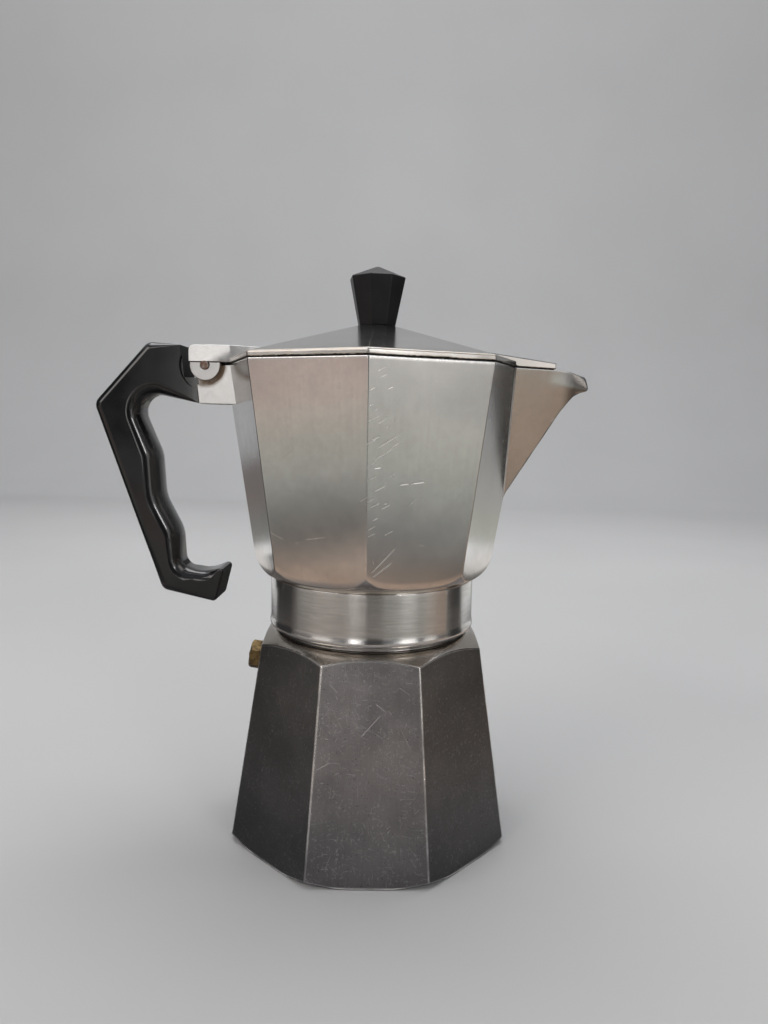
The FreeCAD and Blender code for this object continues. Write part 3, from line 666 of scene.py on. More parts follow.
def hinge_metal():
    """Bracket and hinge channel: bright satin with a brown crescent where the ear turns, the ear darker below the
    block, and a painted shadow line under the block's lower edge.
    """
    t = Tree("hinge_metal")
    patch = t.noise(0.35, 5, 0.65)
    x, _, z = t.split(t.vector("SUBTRACT", t.place, HINGE))
    reach = t.math("SQRT", x * x + z * z)
    # Brown crescent round the lower right of the ear's rim.
    brown_crescent = t.step(reach, 9, 6.4) * t.step(reach, EAR - 0.4, EAR + 0.1)
    brown_crescent = brown_crescent * t.step(z * -0.4 + x, -2.5, 2) * t.step(z, 2, -0.5)
    brown_crescent = brown_crescent * t.step(patch, 0.25, 0.55, 0.4, 1)
    # Ear disc darker where it shows below the block.
    darker_ear = t.step(reach, EAR + 0.2, EAR - 0.3, 0.45, 1) * t.step(z, 1.3, 1.2)
    # Dark line where the block's lower edge meets the ear: painted shadow.
    stained_seam_and_painted_shadow = t.step(abs(z - 1.1), 0.3, 0.15) * t.step(reach, EAR + 0.6, EAR + 0.3)
    colour = t.coats(
        t.mix(t.step(patch, 0.35, 0.66), grey(0.8, 0.012), grey(0.9, 0.012)), (t.wear * 0.5, grey(0.94)),
        (darker_ear * 0.8, grey(0.5, 0.01)), (stained_seam_and_painted_shadow, (0.06, 0.05, 0.04)), (brown_crescent * 0.95, (0.24, 0.15, 0.08)))
    rough = patch * 0.2 + brown_crescent * 0.3 + 0.25
    return t.surface(colour, rough, (t.noise(1.6, 3), 0.02, 0.4), Metallic=t.step(brown_crescent, 0.8, 0.2, 0.4, 1))


def small_metal(name, low, high, stain, stain_share, rough_base):
    """Small turned or pressed parts: two tones, and a stain in patches."""
    t = Tree(name)
    patch = t.noise(0.5, 5, 0.65)
    stained = t.step(t.noise(0.8, 4, 0.7), stain_share, stain_share - 0.12)
    colour = t.coats(t.mix(t.step(patch, 0.35, 0.65), low, high), (stained * 0.8, stain))
    rough = patch * 0.2 + stained * 0.2 + rough_base
    return t.surface(colour, rough, (t.noise(2.5, 3), 0.015, 0.4), Metallic=t.step(stained, 0.3, 1, 1, 0.55))


def black_moulding(name, rough_base, rough_swing, line_scale, coat):
    """Black thermoset: gloss broken by handling marks, with faint lines from the mould."""
    t = Tree(name)
    patch = t.noise(0.07, 4, 0.6)
    lines = t.noise(1, 3, at=t.scaled(t.place, 0.25, 0.25, line_scale))
    dust = t.step(t.noise(1.9, 3, 0.7), 0.66, 0.74)
    colour = t.coats(
        t.mix(t.step(patch, 0.35, 0.7), (0.006, 0.006, 0.0065), (0.012, 0.012, 0.013)), (dust * 0.1, grey(0.16)))
    rough = patch * rough_swing + lines * 0.08 + rough_base
    return t.surface(colour, rough, (lines, 0.02, 0.5), (t.noise(1.4, 3, 0.6), 0.006, 0.5),
                     Specular_IOR_Level=0.4, Coat_Weight=coat, Coat_Roughness=0.06)


def seal_rubber():
    t = Tree("seal_rubber")
    patch = t.noise(0.1, 5, 0.6)
    stain = t.step(t.noise(0.35, 4, 0.7), 0.56, 0.72, 0, 0.6)
    colour = t.coats(
        t.mix(t.step(patch, 0.35, 0.65), (0.78, 0.74, 0.64), (0.66, 0.6, 0.48)), (stain, (0.34, 0.21, 0.1)))
    return t.surface(colour, patch * 0.2 + 0.5, (t.noise(2.2), 0.03, 0.5))


SATIN = satin_casting()
DULL = dull_casting()
COLLAR_METAL = turned_metal("turned_collar", 0.66, 0.82, 0.12, 0.75)
SHEET = turned_metal("spun_sheet", 0.6, 0.72, 0.22, 0.5)
POLISHED = polished_casting()
HINGE_METAL = hinge_metal()
BRASS = small_metal("aged_brass", (0.21, 0.145, 0.065), (0.3, 0.215, 0.1), (0.09, 0.066, 0.04), 0.5, 0.32)
STEEL = small_metal("plain_steel", grey(0.5), grey(0.62), (0.22, 0.12, 0.06), 0.36, 0.25)
RUSTY = small_metal("rusty_pin", grey(0.3, 0.06), grey(0.44, 0.05), (0.2, 0.085, 0.04), 0.6, 0.4)
GRIP = black_moulding("black_grip", 0.08, 0.12, 0.25, 0.5)
MATT_END = black_moulding("black_end", 0.6, 0.2, 0.25, 0)
KNOB_BLACK = black_moulding("black_knob", 0.26, 0.16, 1.7, 0)
SEAL = seal_rubber()


# Boiler

def boiler_radius(angle, z, inset=0, rounding=1):
    apothem = (BOILER_FOOT - BOILER_TAPER * z) * FLAT - inset
    return octagon(angle - BOILER_TURN + HALF, apothem, rounding)


def boiler_outline(angle):
    lowest = 0.3
    beside = 0.7
    inner_rounding = 4

    def at(z):
        return boiler_radius(angle, z), z

    def within(z):
        return boiler_radius(angle, z, BOILER_WALL, inner_rounding), z

    foot = at(0)[0]
    trim = lowest
    if foot > FOOT_TRIM + lowest / FOOT_RISE:
        trim = max(lowest, meeting(0, 6, lambda z: FOOT_TRIM + z / FOOT_RISE - at(z)[0]))
    bottom = min(FOOT_TRIM, foot - 0.25)
    crease = meeting(60, SHOULDER, lambda z: at(z)[0] - SHOULDER_EDGE - (SHOULDER - z) / SHOULDER_FALL)
    return eased(
        [(0, 0), (bottom - 8, 0), (bottom, 0), at(trim), at(trim + beside), at(crease - beside), at(crease),
         (at(crease)[0] - beside, crease + beside * SHOULDER_FALL), (SHOULDER_EDGE, SHOULDER), (NECK, SHOULDER),
         (NECK, NECK_TOP), (NECK_BORE, NECK_TOP), (NECK_BORE, BOILER_CEILING), within(BOILER_CEILING),
         within(BOILER_FLOOR), (0, BOILER_FLOOR)],
        [0, 0, 0.25, 0.3, 0, 0, 0.3, 0, 0.8, 0.5, 0.7, 0.6, 0.8, 2, 4],
        [2, 1, 1, 1, 24, 1, 1, 4, 1, 2, 2, 3, 3, 10, 6])


boiler = cast(octagon_angles(12, turn=BOILER_TURN + HALF), boiler_outline, False)
piece("boiler_casting", boiler, "boiler", DULL, "boiler")


def thread_ridge(radius, crest, low, high, phase, side):
    """Ridge of the neck's (side 1) or the collar's (side -1) thread, thin at both ends."""
    turns = (high - low) / THREAD_PITCH

    def section(t):
        root = radius - side * THREAD_SINK
        tip = radius + side * crest * min(1, t * turns * 5, (1 - t) * turns * 5)
        foot, top = THREAD_WIDTH * 0.5, THREAD_WIDTH * 0.16
        return [(root, -foot), (tip, -top), (tip, top), (root, foot)]

    return wound(section, low, high, turns, 96, phase)


THREAD_START = 0.4
piece("neck_thread", thread_ridge(NECK, 0.5, 81.5, 90.6, THREAD_START, 1), "boiler", SHEET, sharp=25)


def along_valve():
    """Matrix with +X out of the valve's facet and its origin on the facet."""
    lean = atan(BOILER_TAPER * FLAT)
    reach = (BOILER_FOOT - BOILER_TAPER * VALVE_HEIGHT) * FLAT
    turn = Matrix.Rotation(pi + BOILER_TURN, 4, "Z")
    at = turn @ Vector((reach, 0, VALVE_HEIGHT))
    return Matrix.Translation(at) @ turn @ Matrix.Rotation(-lean, 4, "Y")


def on_valve(mesh):
    """Turn a mesh made along +Z to lie along the valve."""
    matrix = along_valve()
    matrix.translation *= MM
    mesh.transform(matrix @ Matrix.Rotation(QUARTER, 4, "Y"))
    return mesh


boss = lathe([(4.05, -7), (7.5, -7), (7.5, -2), (4.05, -2)], [0, 0.7, 0, 0], segments=64)
piece("valve_boss", on_valve(boss), "boiler", DULL)

coil = wound(lambda t: circle(SPRING_RADIUS, 0, WIRE, 10), SPRING_LOW, SPRING_HIGH, 3.5, 40)
spring = piece("valve_spring_coil", on_valve(coil), "boiler", STEEL, "valve_spring")
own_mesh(spring)


# Collector

# Faces of its wall: depth in the bowl, depth in the beak, rounding of the corners and of the beak's keel
OUTER = (0, 0, 0.9, 0.9)
INNER = (BOWL_WALL, SPOUT_WALL, 3, 0.6)
BEAK_SHARES = [0, 0.012, 0.024, 0.04, 0.08, 0.16, 0.3, 0.45, 0.6, 0.75, 0.88, 0.965]
FLAT_STEPS = 12


def beak_angle(z, wall, inset):
    """Angle at which the beak's side leaves the facet at a height."""
    apothem = bowl_apothem(z, wall)
    apex = beak_apex(z, inset)
    up = apex * BEAK_SIN * FLAT - apothem * BEAK_SIN
    across = apothem * BEAK_COS - apex * BEAK_SIN * sin(HALF)
    return max(radians(1), atan2(up, across))


def beak_radius(angle, z, inset, rounding):
    apex = beak_apex(z, inset)
    centre = apex - rounding / BEAK_SIN
    if centre <= 0:
        return 0
    away = abs(angle)
    touch = atan2(rounding * BEAK_COS, centre + rounding * BEAK_SIN)
    if away < touch:
        return centre * cos(away) + sqrt(square(rounding) - square(centre * sin(away)))
    return apex * BEAK_SIN / sin(SPOUT_HALF + away)


def wall_angles(z, wall, inset):
    """Angles of the collector's columns at a height, fitted to the beak."""
    corner = radians(CORNER)
    guard = GUARD * corner
    edge = beak_angle(z, wall, inset)
    angles = [-share * edge for share in reversed(BEAK_SHARES[1:])] + [share * edge for share in BEAK_SHARES]
    for side in range(8):
        start = side * STEP + guard if side else edge
        end = (side + 1) * STEP - guard if side < 7 else 8 * STEP - edge
        angles += spaced(start, end, FLAT_STEPS)
        if side < 7:
            angles += spaced((side + 1) * STEP - corner, (side + 1) * STEP + corner, CORNER_STEPS)
    return angles


def wall_point(k, z, face):
    """Point (angle, r, z) of a column on a face of the wall."""
    wall, inset, rounding, keel = face
    angle = wall_angles(z, wall, inset)[k]
    radius = octagon(angle, bowl_apothem(z, wall), rounding)
    turn = (angle + pi) % TAU - pi
    if abs(turn) < STEP:
        radius = max(radius, beak_radius(turn, z, inset, keel))
    return angle, radius, z


ROUND_Z = BOWL_FOOT + UNDERSIDE
ROUND_R = FOOT_RADIUS + BOWL_SLOPE * UNDERSIDE - UNDERSIDE * hypot(1, BOWL_SLOPE)
LIP_REACH = 6.5
LIP_FROM = 55
LIP_HEIGHTS = (164.0, 166.0, 168.0, 170.0, 172.0, 174.0, 174.8, 175.5, 177.0, 178.6, BOWL_RIM)
LIP_OUT = (0.0, 0.3, 0.6, 1.2, 2.2, 3.1, 3.64, 3.35, 1.9, 0.3, -0.9)
LIP_UP = (0.0, -0.05, 0.0, 0.1, -0.65, -2.05, -2.5, -2.3, -2.0, -1.8, -1.9)


def lip(x, y, z):
    """Bend the beak's end out and down into its lip."""
    share = exp(-square(max(0, beak_apex(z, 0) - x) / LIP_REACH)) if x >= LIP_FROM else 0
    return x + share * interp(z, LIP_HEIGHTS, LIP_OUT), y, z + share * interp(z, LIP_HEIGHTS, LIP_UP)


def underside(angle, radius, turn):
    return angle, ROUND_R + radius * cos(turn), ROUND_Z + radius * sin(turn)


def underside_end(angle, radius, face):
    """How far round the underside's curve a column meets the wall."""
    def gap(turn):
        _, reach, z = underside(angle, radius, turn)
        return reach - octagon(angle, bowl_apothem(z, face[0]), face[2])

    return meeting(-QUARTER, radians(20), gap)


def collector_mesh():
    rows = spaced(0, 0.72, 22)[:-1] + spaced(0.72, 1, 22)
    inside = eased(
        [(SPIGOT, DOME_TOP), (SPIGOT, BOSS_TOP), (BOSS, BOSS_TOP), (FLOOR_CONE, BOWL_FLOOR),
         (ROUND_R, BOWL_FLOOR)], [0, 0.3, 0.8, 3], [2, 1, 4, 4])
    outside = eased(
        [(ROUND_R, BOWL_FOOT), (GROOVE, BOWL_FOOT), (GROOVE, COLLAR_TOP), (COLLAR - 0.3, COLLAR_TOP),
         (COLLAR - 0.3, COLLAR_BOTTOM + 3.6), (COLLAR + 0.15, COLLAR_BOTTOM + 1.7),
         (COLLAR - 0.3, COLLAR_BOTTOM + 0.5), (COLLAR - 2.1, COLLAR_BOTTOM), (COLLAR_BORE, COLLAR_BOTTOM),
         (COLLAR_BORE, CEILING), (DOME, CEILING), (SPIGOT, DOME_TOP - 0.01)],
        [0, 0.2, 0.2, 0.5, 1, 0.9, 0.6, 0.4, 0.5, 0.4, 0.6], [1, 1, 1, 10, 1, 1, 1, 1, 4, 2, 3])
    inner_round = UNDERSIDE - BOWL_WALL
    bend = 7
    columns = []
    for k, base in enumerate(wall_angles(ROUND_Z - 4, 0, 0)):
        column = upright(base, inside)
        turn = underside_end(base, inner_round, INNER)
        column += [underside(base, inner_round, at) for at in spaced(-QUARTER, turn, bend)[1:-1]]
        low = ROUND_Z + inner_round * sin(turn) + 0.4
        column += [wall_point(k, low + (BOWL_RIM - 0.3 - low) * share, INNER) for share in rows]
        angle, radius, _ = wall_point(k, BOWL_RIM, INNER)
        column.append((angle, radius + 0.3, BOWL_RIM))
        angle, radius, _ = wall_point(k, BOWL_RIM, OUTER)
        column += [(angle, radius - 0.4, BOWL_RIM), (angle, radius - 0.1, BOWL_RIM - 0.12)]
        turn = underside_end(base, UNDERSIDE, OUTER)
        low = ROUND_Z + UNDERSIDE * sin(turn) + 0.35
        column += [wall_point(k, low + (BOWL_RIM - 0.4 - low) * share, OUTER) for share in reversed(rows)]
        column += [underside(base, UNDERSIDE, at) for at in spaced(turn - 0.04, -QUARTER, bend)[:-1]]
        columns.append(column + upright(base, outside))
    mesh = skin(columns, True)
    for vertex in mesh.vertices:
        vertex.co = Vector(lip(*(vertex.co / MM))) * MM
    for face in mesh.polygons:
        corners = [mesh.vertices[i].co / MM for i in face.vertices]
        on_collar = max(co.z for co in corners) < COLLAR_TOP + 0.01
        if on_collar and max(hypot(co.x, co.y) for co in corners) > COLLAR_BORE - 0.1:
            face.material_index = 1
    return mesh


collector = piece("collector_casting", collector_mesh(), "collector", SATIN, "collector")
collector.data.materials.append(COLLAR_METAL)

piece("collar_thread", thread_ridge(COLLAR_BORE, 0.28, 83.6, 90.8, THREAD_START + pi, -1), "collector",
      SHEET, sharp=25)


def bracket_mesh():
    outline = [(BRACKET_ROOT, BRACKET_BOTTOM), (BRACKET_BACK + 0.9, BRACKET_BOTTOM), (BRACKET_BACK, LEDGE),
               (BRACKET_BACK, HINGE.z), (BRACKET_ROOT, HINGE.z)]
    block = shape(outline, BRACKET_HALF)
    block = combined(block, [shape(round_hinge(KNUCKLE), KNUCKLE_HALF)], "UNION")
    slot_half, floor, front, past = 4.6, 166.4, -58, -75
    slot = shape([(past, floor), (front, floor), (front, TAB_TOP), (past, TAB_TOP)], slot_half)
    cuts = both_sides(round_hinge(POCKET), KNUCKLE_HALF, BRACKET_HALF + CUT_PAST) + [slot]
    return combined(block, cuts, "DIFFERENCE")


bevel(piece("hinge_bracket", bracket_mesh(), "collector", HINGE_METAL, sharp=30, worn=False), 0.45)


# Lid

random.seed(7)
LID_ANGLES = octagon_angles(22)
NICKS = {angle: random.random() for angle in LID_ANGLES}


def lid_outline(angle):
    def at(radius, rounding):
        return octagon(angle, radius * FLAT, rounding)

    uneven = 0.22 * square(NICKS[angle]) if NICKS[angle] > 0.2 else 0
    inner_z = LID_RIM + LID_SLOPE * LID_WALL - 1.655
    pad, rim, inner = at(LID_PAD, 0.4), at(LID_RADIUS, 0.7), at(LID_RADIUS - LID_WALL, 1)
    return eased(
        [(LID_HOLE, PAD_TOP), (pad, PAD_TOP), (rim - 0.1, LID_RIM), (rim - uneven * 0.5, LID_BOTTOM + uneven),
         (inner, LID_BOTTOM), (inner, inner_z), (pad, PAD_UNDER), (LID_HOLE, PAD_UNDER)],
        [0, 0.4, 0.5, 0.3, 0.3, 0.4, 0.6], [2, 24, 2, 1, 1, 12, 2])


piece("lid_casting", cast(LID_ANGLES, lid_outline), "lid", POLISHED, "lid")


def tongue_mesh():
    root, seat, tip = 36, 50, 66.9
    tip_top, slope, thickness = 181.9, 0.08, 1.8
    plan = [(x, -(SPOUT_REACH - x) * BEAK_TAN) for x in spaced(root, tip, 8)]
    plan += [(x, -y) for x, y in reversed(plan)]

    def top(x):
        return tip_top + slope * (tip - x)

    return prism(plan, lambda x: LID_BOTTOM if x > seat else top(x) - thickness, top)


bevel(piece("lid_tongue", tongue_mesh(), "lid", POLISHED, sharp=30, worn=False), 0.4)


def channel_mesh():
    """Hinge channel on the lid: bridge, two cheeks and a nose that runs out on the lid."""
    rear, root, nose = HINGE.x - 6.1, -53.5, -38
    nose_half = 2.2
    low = 180.1
    corner = eased([(rear, low), (rear, TAB_TOP), (root, TAB_TOP)], [0, 2.4], steps=6)
    side = corner[:-1] + [(root - 0.8, TAB_TOP), (nose, TAB_TOP - 0.2), (nose, low)]
    plan = [(rear, -BRACKET_HALF), (root, -BRACKET_HALF), (nose, -nose_half), (nose, nose_half), (root, BRACKET_HALF),
            (rear, BRACKET_HALF)]
    trim = prism(plan, lambda x: low - 3, lambda x: TAB_TOP + 3)
    block = combined(shape(side, BRACKET_HALF), [trim], "INTERSECT")
    past, end = rear - CUT_PAST, HINGE.x - BRIDGE
    under, over = low - CUT_PAST, TAB_TOP + CUT_PAST
    gap = [(past, over), (past, under), (end, under), (end, over)]
    cuts = [shape(outline, EAR_IN) for outline in (round_hinge(5.5), gap)]
    return combined(block, cuts, "DIFFERENCE")


bevel(piece("hinge_channel", channel_mesh(), "lid", HINGE_METAL, sharp=30, worn=False), 0.6)

for label, ear in zip(("front", "back"), reversed(both_sides(round_hinge(EAR), EAR_IN, EAR_OUT))):
    ear = combined(ear, [shape(round_hinge(PIN + 0.08, 32), 12)], "DIFFERENCE")
    bevel(piece("lid_ear_" + label, ear, "lid", HINGE_METAL, sharp=30, worn=False), 0.35)


# Knob

KNOB_TURN = radians(10) + HALF
KNOB_FOOT, KNOB_BRIM, KNOB_PEAK, KNOB_BORE = 7.25, 10.9, 0.9, 2.63
BRIM_TOP, KNOB_TOP, BORE_TOP = PAD_TOP + 17.7, PAD_TOP + 21.8, PAD_TOP + 12


def knob_outline(angle):
    foot, brim, peak = (octagon(angle - KNOB_TURN, radius * FLAT, 0.45) for radius in (KNOB_FOOT, KNOB_BRIM, KNOB_PEAK))
    return eased(
        [(0, BORE_TOP), (KNOB_BORE, BORE_TOP), (KNOB_BORE, PAD_TOP), (foot, PAD_TOP), (brim, BRIM_TOP),
         (peak, KNOB_TOP), (0, KNOB_TOP)], [0, 0, 0.2, 0.35, 0.4, 0.3], [1, 2, 2, 10, 6, 1])


knob = cast(octagon_angles(6, 2, KNOB_TURN), knob_outline, False)
piece("knob_moulding", knob, "lid", KNOB_BLACK, "knob")


# Handle

# Corners (x, z, rounding in this plane, rounding of the edge to the sides): from the top of the front over the back,
# under the foot and up the finger side
HANDLE_CORNERS = [
    (-72.9, 186.2, 0, 0.3), (-85.9, 187.6, 4, 3.4), (-107.3, 164.4, 4.5, 3.8), (-81.7, 92.3, 4, 3.4),
    (-60.2, 88.6, 1.5, 1), (-56.7, 102.4, 1.5, 1), (-65.5, 99.7, 12, 3.6), (-74.5, 101.8, 4.5, 4.8),
    (-74.8, 115.4, 15, 5.6), (-81.8, 129, 15, 5.6), (-82.8, 145.5, 15, 5.6), (-93.8, 169.8, 6.5, 4.8),
    (-65.8, 164.7, 0, 0.3), (-66.7, LEDGE, 0, 0.3), (-71.8, LEDGE, 0, 0.3)]
HANDLE_HALF = 8.5
HANDLE_CLEAR = 9.8
HANDLE_FRONT = -74
TONGUE = [(-71, 166.6), (-58.2, 166.6), (-58.2, 178.9), (-60, 182), (-63.5, 183.4), (-66.6, 182),
          (-68, 178.9), (-67.4, 176.5), (-66.6, LEDGE), (-71, LEDGE)]
TONGUE_HALF = 4.4


def handle_outline():
    """Points (x, z, edge rounding) round the handle in its own plane."""
    points = []
    count = len(HANDLE_CORNERS)
    for i, (x, z, rounding, soft) in enumerate(HANDLE_CORNERS):
        here = Vector((x, z))
        if rounding == 0:
            points.append((x, z, soft))
            continue
        back = (Vector(HANDLE_CORNERS[i - 1][:2]) - here).normalized()
        on = (Vector(HANDLE_CORNERS[(i + 1) % count][:2]) - here).normalized()
        half = back.angle(on) / 2
        centre = here + (back + on).normalized() * (rounding / sin(half))
        first = here + back * (rounding / tan(half)) - centre
        last = here + on * (rounding / tan(half)) - centre
        sweep = first.angle_signed(last)
        steps = max(4, int(abs(sweep) * rounding / 0.9))
        for turn in spaced(0, sweep, steps):
            c, s = cos(turn), -sin(turn)
            points.append((centre.x + first.x * c - first.y * s, centre.y + first.x * s + first.y * c, soft))
    dense = []
    for here, on in zip(points, points[1:] + points[:1]):
        steps = max(1, int(hypot(on[0] - here[0], on[1] - here[1]) / 1.6))
        dense += [[a + (b - a) * t for a, b in zip(here, on)] for t in spaced(0, 1, steps)[:-1]]
    return dense


def handle_mesh():
    outline = handle_outline()
    count = len(outline)
    inward = []
    for i in range(count):
        way = (Vector(outline[(i + 1) % count][:2]) - Vector(outline[i - 1][:2])).normalized()
        inward.append(Vector((-way.y, way.x)))
    for _ in range(3):
        inward = [(inward[i - 1] + inward[i] * 2 + inward[(i + 1) % count]).normalized() for i in range(count)]
    turns = spaced(0, QUARTER, 7)
    rings = []
    for side, turn in [(-1, turn) for turn in reversed(turns)] + [(1, turn) for turn in turns]:
        ring = []
        for (x, z, soft), normal in zip(outline, inward):
            deep = 1.35 * soft
            inset = soft * (1 - cos(turn))
            y = side * (HANDLE_HALF - deep + deep * sin(turn))
            ring.append((x + normal.x * inset, y, z + normal.y * inset))
        rings.append(ring)
    cuts = both_sides(round_hinge(HANDLE_CLEAR), KNUCKLE_HALF, HANDLE_HALF + CUT_PAST)
    return combined(tube(rings), cuts, "DIFFERENCE")


handle = piece("handle_moulding", handle_mesh(), "collector", GRIP, "handle", sharp=38)
handle.data.materials.append(MATT_END)
for face in handle.data.polygons:
    if face.normal.x > 0.7 and face.center.x > HANDLE_FRONT * MM:
        face.material_index = 1
tongue = shape(TONGUE, TONGUE_HALF)
bevel(piece("handle_tongue", tongue, "collector", GRIP, sharp=30), 0.4, 2)


# Funnel, seal and filter

basket_wall, basket_base = BASKET_BORE + GAUGE, BASKET_FLOOR - GAUGE
basket_flange, sleeve, sleeve_foot = SEAL_BOTTOM - GAUGE, SLEEVE_BORE + GAUGE, STEM_TOP - 3
basket = lathe(
    [(BASKET_BORE, SEAL_BOTTOM), (BASKET_BORE, BASKET_FLOOR), (CONE_BORE, BASKET_FLOOR), (SLEEVE_BORE, STEM_TOP),
     (SLEEVE_BORE, sleeve_foot), (sleeve, sleeve_foot), (sleeve, STEM_TOP - 0.4), (CONE_BORE + 0.4, basket_base),
     (basket_wall, basket_base), (basket_wall, basket_flange), (BASKET_FLANGE, basket_flange),
     (BASKET_FLANGE, SEAL_BOTTOM)],
    [0, 1.2, 1.5, 0.8, 0.2, 0.2, 1, 1.6, 1.8, 0.3, 0.35, 0.35], [6, 4, 3, 1, 1, 1, 3, 4, 6, 1, 1, 1])
piece("funnel_basket_spun", basket, "funnel", SHEET, "funnel_basket")
stem = lathe(
    [(STEM_BORE, 30), (STEM_BORE, STEM_FOOT), (STEM, STEM_FOOT), (STEM, STEM_TOP), (STEM_BORE, STEM_TOP)],
    [0, 0.25, 0.25, 0.25, 0.25], [4, 1, 10, 1, 6], 2, 64)
piece("funnel_tube_drawn", stem, "funnel", SHEET, "funnel_tube")
ring = lathe(
    [(32, SEAL_BOTTOM), (SEAL_RADIUS, SEAL_BOTTOM), (SEAL_RADIUS, SEAL_TOP), (SEAL_BORE, SEAL_TOP),
     (SEAL_BORE, SEAL_BOTTOM)], [0, 0.8, 0.8, 0.8, 0.8], [2, 2, 3, 2, 2], 4)
piece("gasket_ring", ring, "gasket", SEAL, "gasket")

HOLE = 0.75
HOLE_PITCH = 2.9
ROW_PITCH = HOLE_PITCH * 0.866


def perforated(outer, reach, low, high):
    """Flat disc with a close pattern of holes."""
    rows = int(reach / ROW_PITCH) + 1
    centres = []
    for row in range(-rows, rows + 1):
        for column in range(-rows - 4, rows + 5):
            x = (column + (row % 2) / 2) * HOLE_PITCH
            if hypot(x, row * ROW_PITCH) < reach:
                centres.append((x, row * ROW_PITCH))
    points = []
    edges = []
    for loop in [circle(0, 0, outer, 96)] + [circle(x, y, HOLE, 8) for x, y in centres]:
        start = len(points)
        points += [Vector(point) for point in loop]
        edges += [(start + k, start + (k + 1) % len(loop)) for k in range(len(loop))]
    found, _, triangles, *_ = geometry.delaunay_2d_cdt(points, edges, [], 0, 1e-6)
    kept = []
    for triangle in triangles:
        middle = sum((found[i] for i in triangle), Vector((0, 0))) / 3
        if middle.length < outer and not any(hypot(middle.x - x, middle.y - y) < HOLE * 0.9 for x, y in centres):
            kept.append(list(triangle))
    count = len(found)
    vertices = [(p.x, p.y, z) for z in (high, low) for p in found]
    faces = kept + [[i + count for i in reversed(face)] for face in kept]
    faces += [[a, b, b + count, a + count] for a, b in edges]
    return solid(vertices, faces)


sieve = perforated(BASKET_BORE - 0.1, 27.5, BASKET_FLOOR + 0.02, BASKET_FLOOR + GAUGE)
piece("funnel_sieve_disc", sieve, "funnel", SHEET, "funnel_sieve", sharp=30, weighted=False)
screen = perforated(PLATE_RADIUS - 0.5, 25, PLATE_BOTTOM, PLATE_BOTTOM + PLATE_GAUGE)
piece("filter_plate_screen", screen, "filter_plate", SHEET, "filter_plate", sharp=30, weighted=False)
plate_bore = PLATE_RADIUS - PLATE_GAUGE
flange = lathe(
    [(plate_bore, PLATE_BOTTOM + 0.2), (plate_bore, PLATE_BOTTOM), (PLATE_RADIUS, PLATE_BOTTOM),
     (PLATE_RADIUS, SEAL_TOP), (PLATE_FLANGE, SEAL_TOP), (PLATE_FLANGE, CEILING), (plate_bore, CEILING)],
    [0, 0.1, 0.4, 0.25, 0.25, 0.25, 0.4], [1, 1, 2, 2, 1, 2, 2])
piece("filter_plate_rim", flange, "filter_plate", SHEET)


# Solids that show as they are, with rounded edges and materials of their own
PLAIN = [
    ("valve_body", BRASS, 0.25), ("valve_washer", STEEL, 0.1), ("valve_plunger", BRASS, 0.15),
    ("valve_retainer", BRASS, 0.15), ("coffee_column", SHEET, 0.2), ("hinge_pin", RUSTY, 0.25),
    ("knob_insert", BRASS, 0.15), ("knob_washer", STEEL, 0.15), ("knob_screw", STEEL, 0.3)]
for name, material, width in PLAIN:
    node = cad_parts[name]
    node.data.materials.clear()
    node.data.materials.append(material)
    bevel(node, width, 2)


# Floor, backdrop, light and camera, in metres

def pale_floor():
    t = Tree("pale_floor")
    tone = t.step(t.noise(0.004), 0.3, 0.7)
    # The floor glows from 1.3 m out, rising to 0.14 at 2.8 m: painted light on the far floor.
    reach = t.add("VectorMath", {0: t.place}, "Value", operation="LENGTH")
    return t.finish(Base_Color=t.mix(tone, grey(0.565), grey(0.585)), Roughness=0.8, Emission_Color=grey(1),
                    Emission_Strength=t.step(reach, 1300, 2800, 0, 0.14))


def pale_wall():
    t = Tree("pale_wall")
    tone = t.noise(0.001, 1)
    return t.finish(Base_Color=grey(0.1), Emission_Color=t.mix(tone, grey(0.23), grey(0.25)), Emission_Strength=1)


def table_tones():
    """What the metal mirrors: dark near by, a brown ring, a dark one, then paler and warmer further out."""
    t = Tree("table_tones")
    x, y, _ = t.split(t.place)
    right = t.step(x, -150, 150)
    reach = t.math("SQRT", x * x + y * y) - 30 + t.noise(0.006) * 60 + right * 45
    beside = t.step(x, 220, 270) * t.step(y, -190, -150) * t.step(y, 30, -30)
    behind = t.step(x, 0, -80) * t.step(y, -140, 0)
    rings = [(205, 235, (0.62, 0.48, 0.38)), (268, 292, t.mix(right, grey(0.035), grey(0.1, 0.03))),
             (355, 440, (0.34, 0.355, 0.325)), (480, 580, (0.45, 0.45, 0.385)),
             (640, 800, t.mix(right, (0.5, 0.38, 0.33), (0.44, 0.43, 0.405)))]
    tone = t.coats((0.22, 0.215, 0.22), *[(t.step(reach, start, end), colour) for start, end, colour in rings],
                   (beside, (0.33, 0.245, 0.18)), (behind * 0.75, grey(0.07)))
    return t.finish(Base_Color=tone, Roughness=0.8)


def staged(name, vertices, faces, material, *unseen_by):
    """Piece of the stage, which some kinds of ray pass through."""
    mesh = bpy.data.meshes.new(name)
    mesh.from_pydata(vertices, [], faces)
    mesh.shade_smooth()
    mesh.materials.append(material)
    thing = shown(name, mesh)
    for kind in unseen_by:
        setattr(thing, "visible_" + kind, False)


SEEN_ONLY = ("diffuse", "glossy", "transmission", "shadow")
MIRRORED_ONLY = ("camera", "diffuse", "transmission", "shadow")


def swept(outline, line):
    """Sheet that carries an outline of (inward, height) steps along a line of (point, inward direction)."""
    vertices = [(x + dx * inward, y + dy * inward, z) for inward, z in outline for (x, y), (dx, dy) in line]
    n = len(line)
    faces = [[i * n + j, i * n + j + 1, (i + 1) * n + j + 1, (i + 1) * n + j]
             for i in range(len(outline) - 1) for j in range(n - 1)]
    return vertices, faces


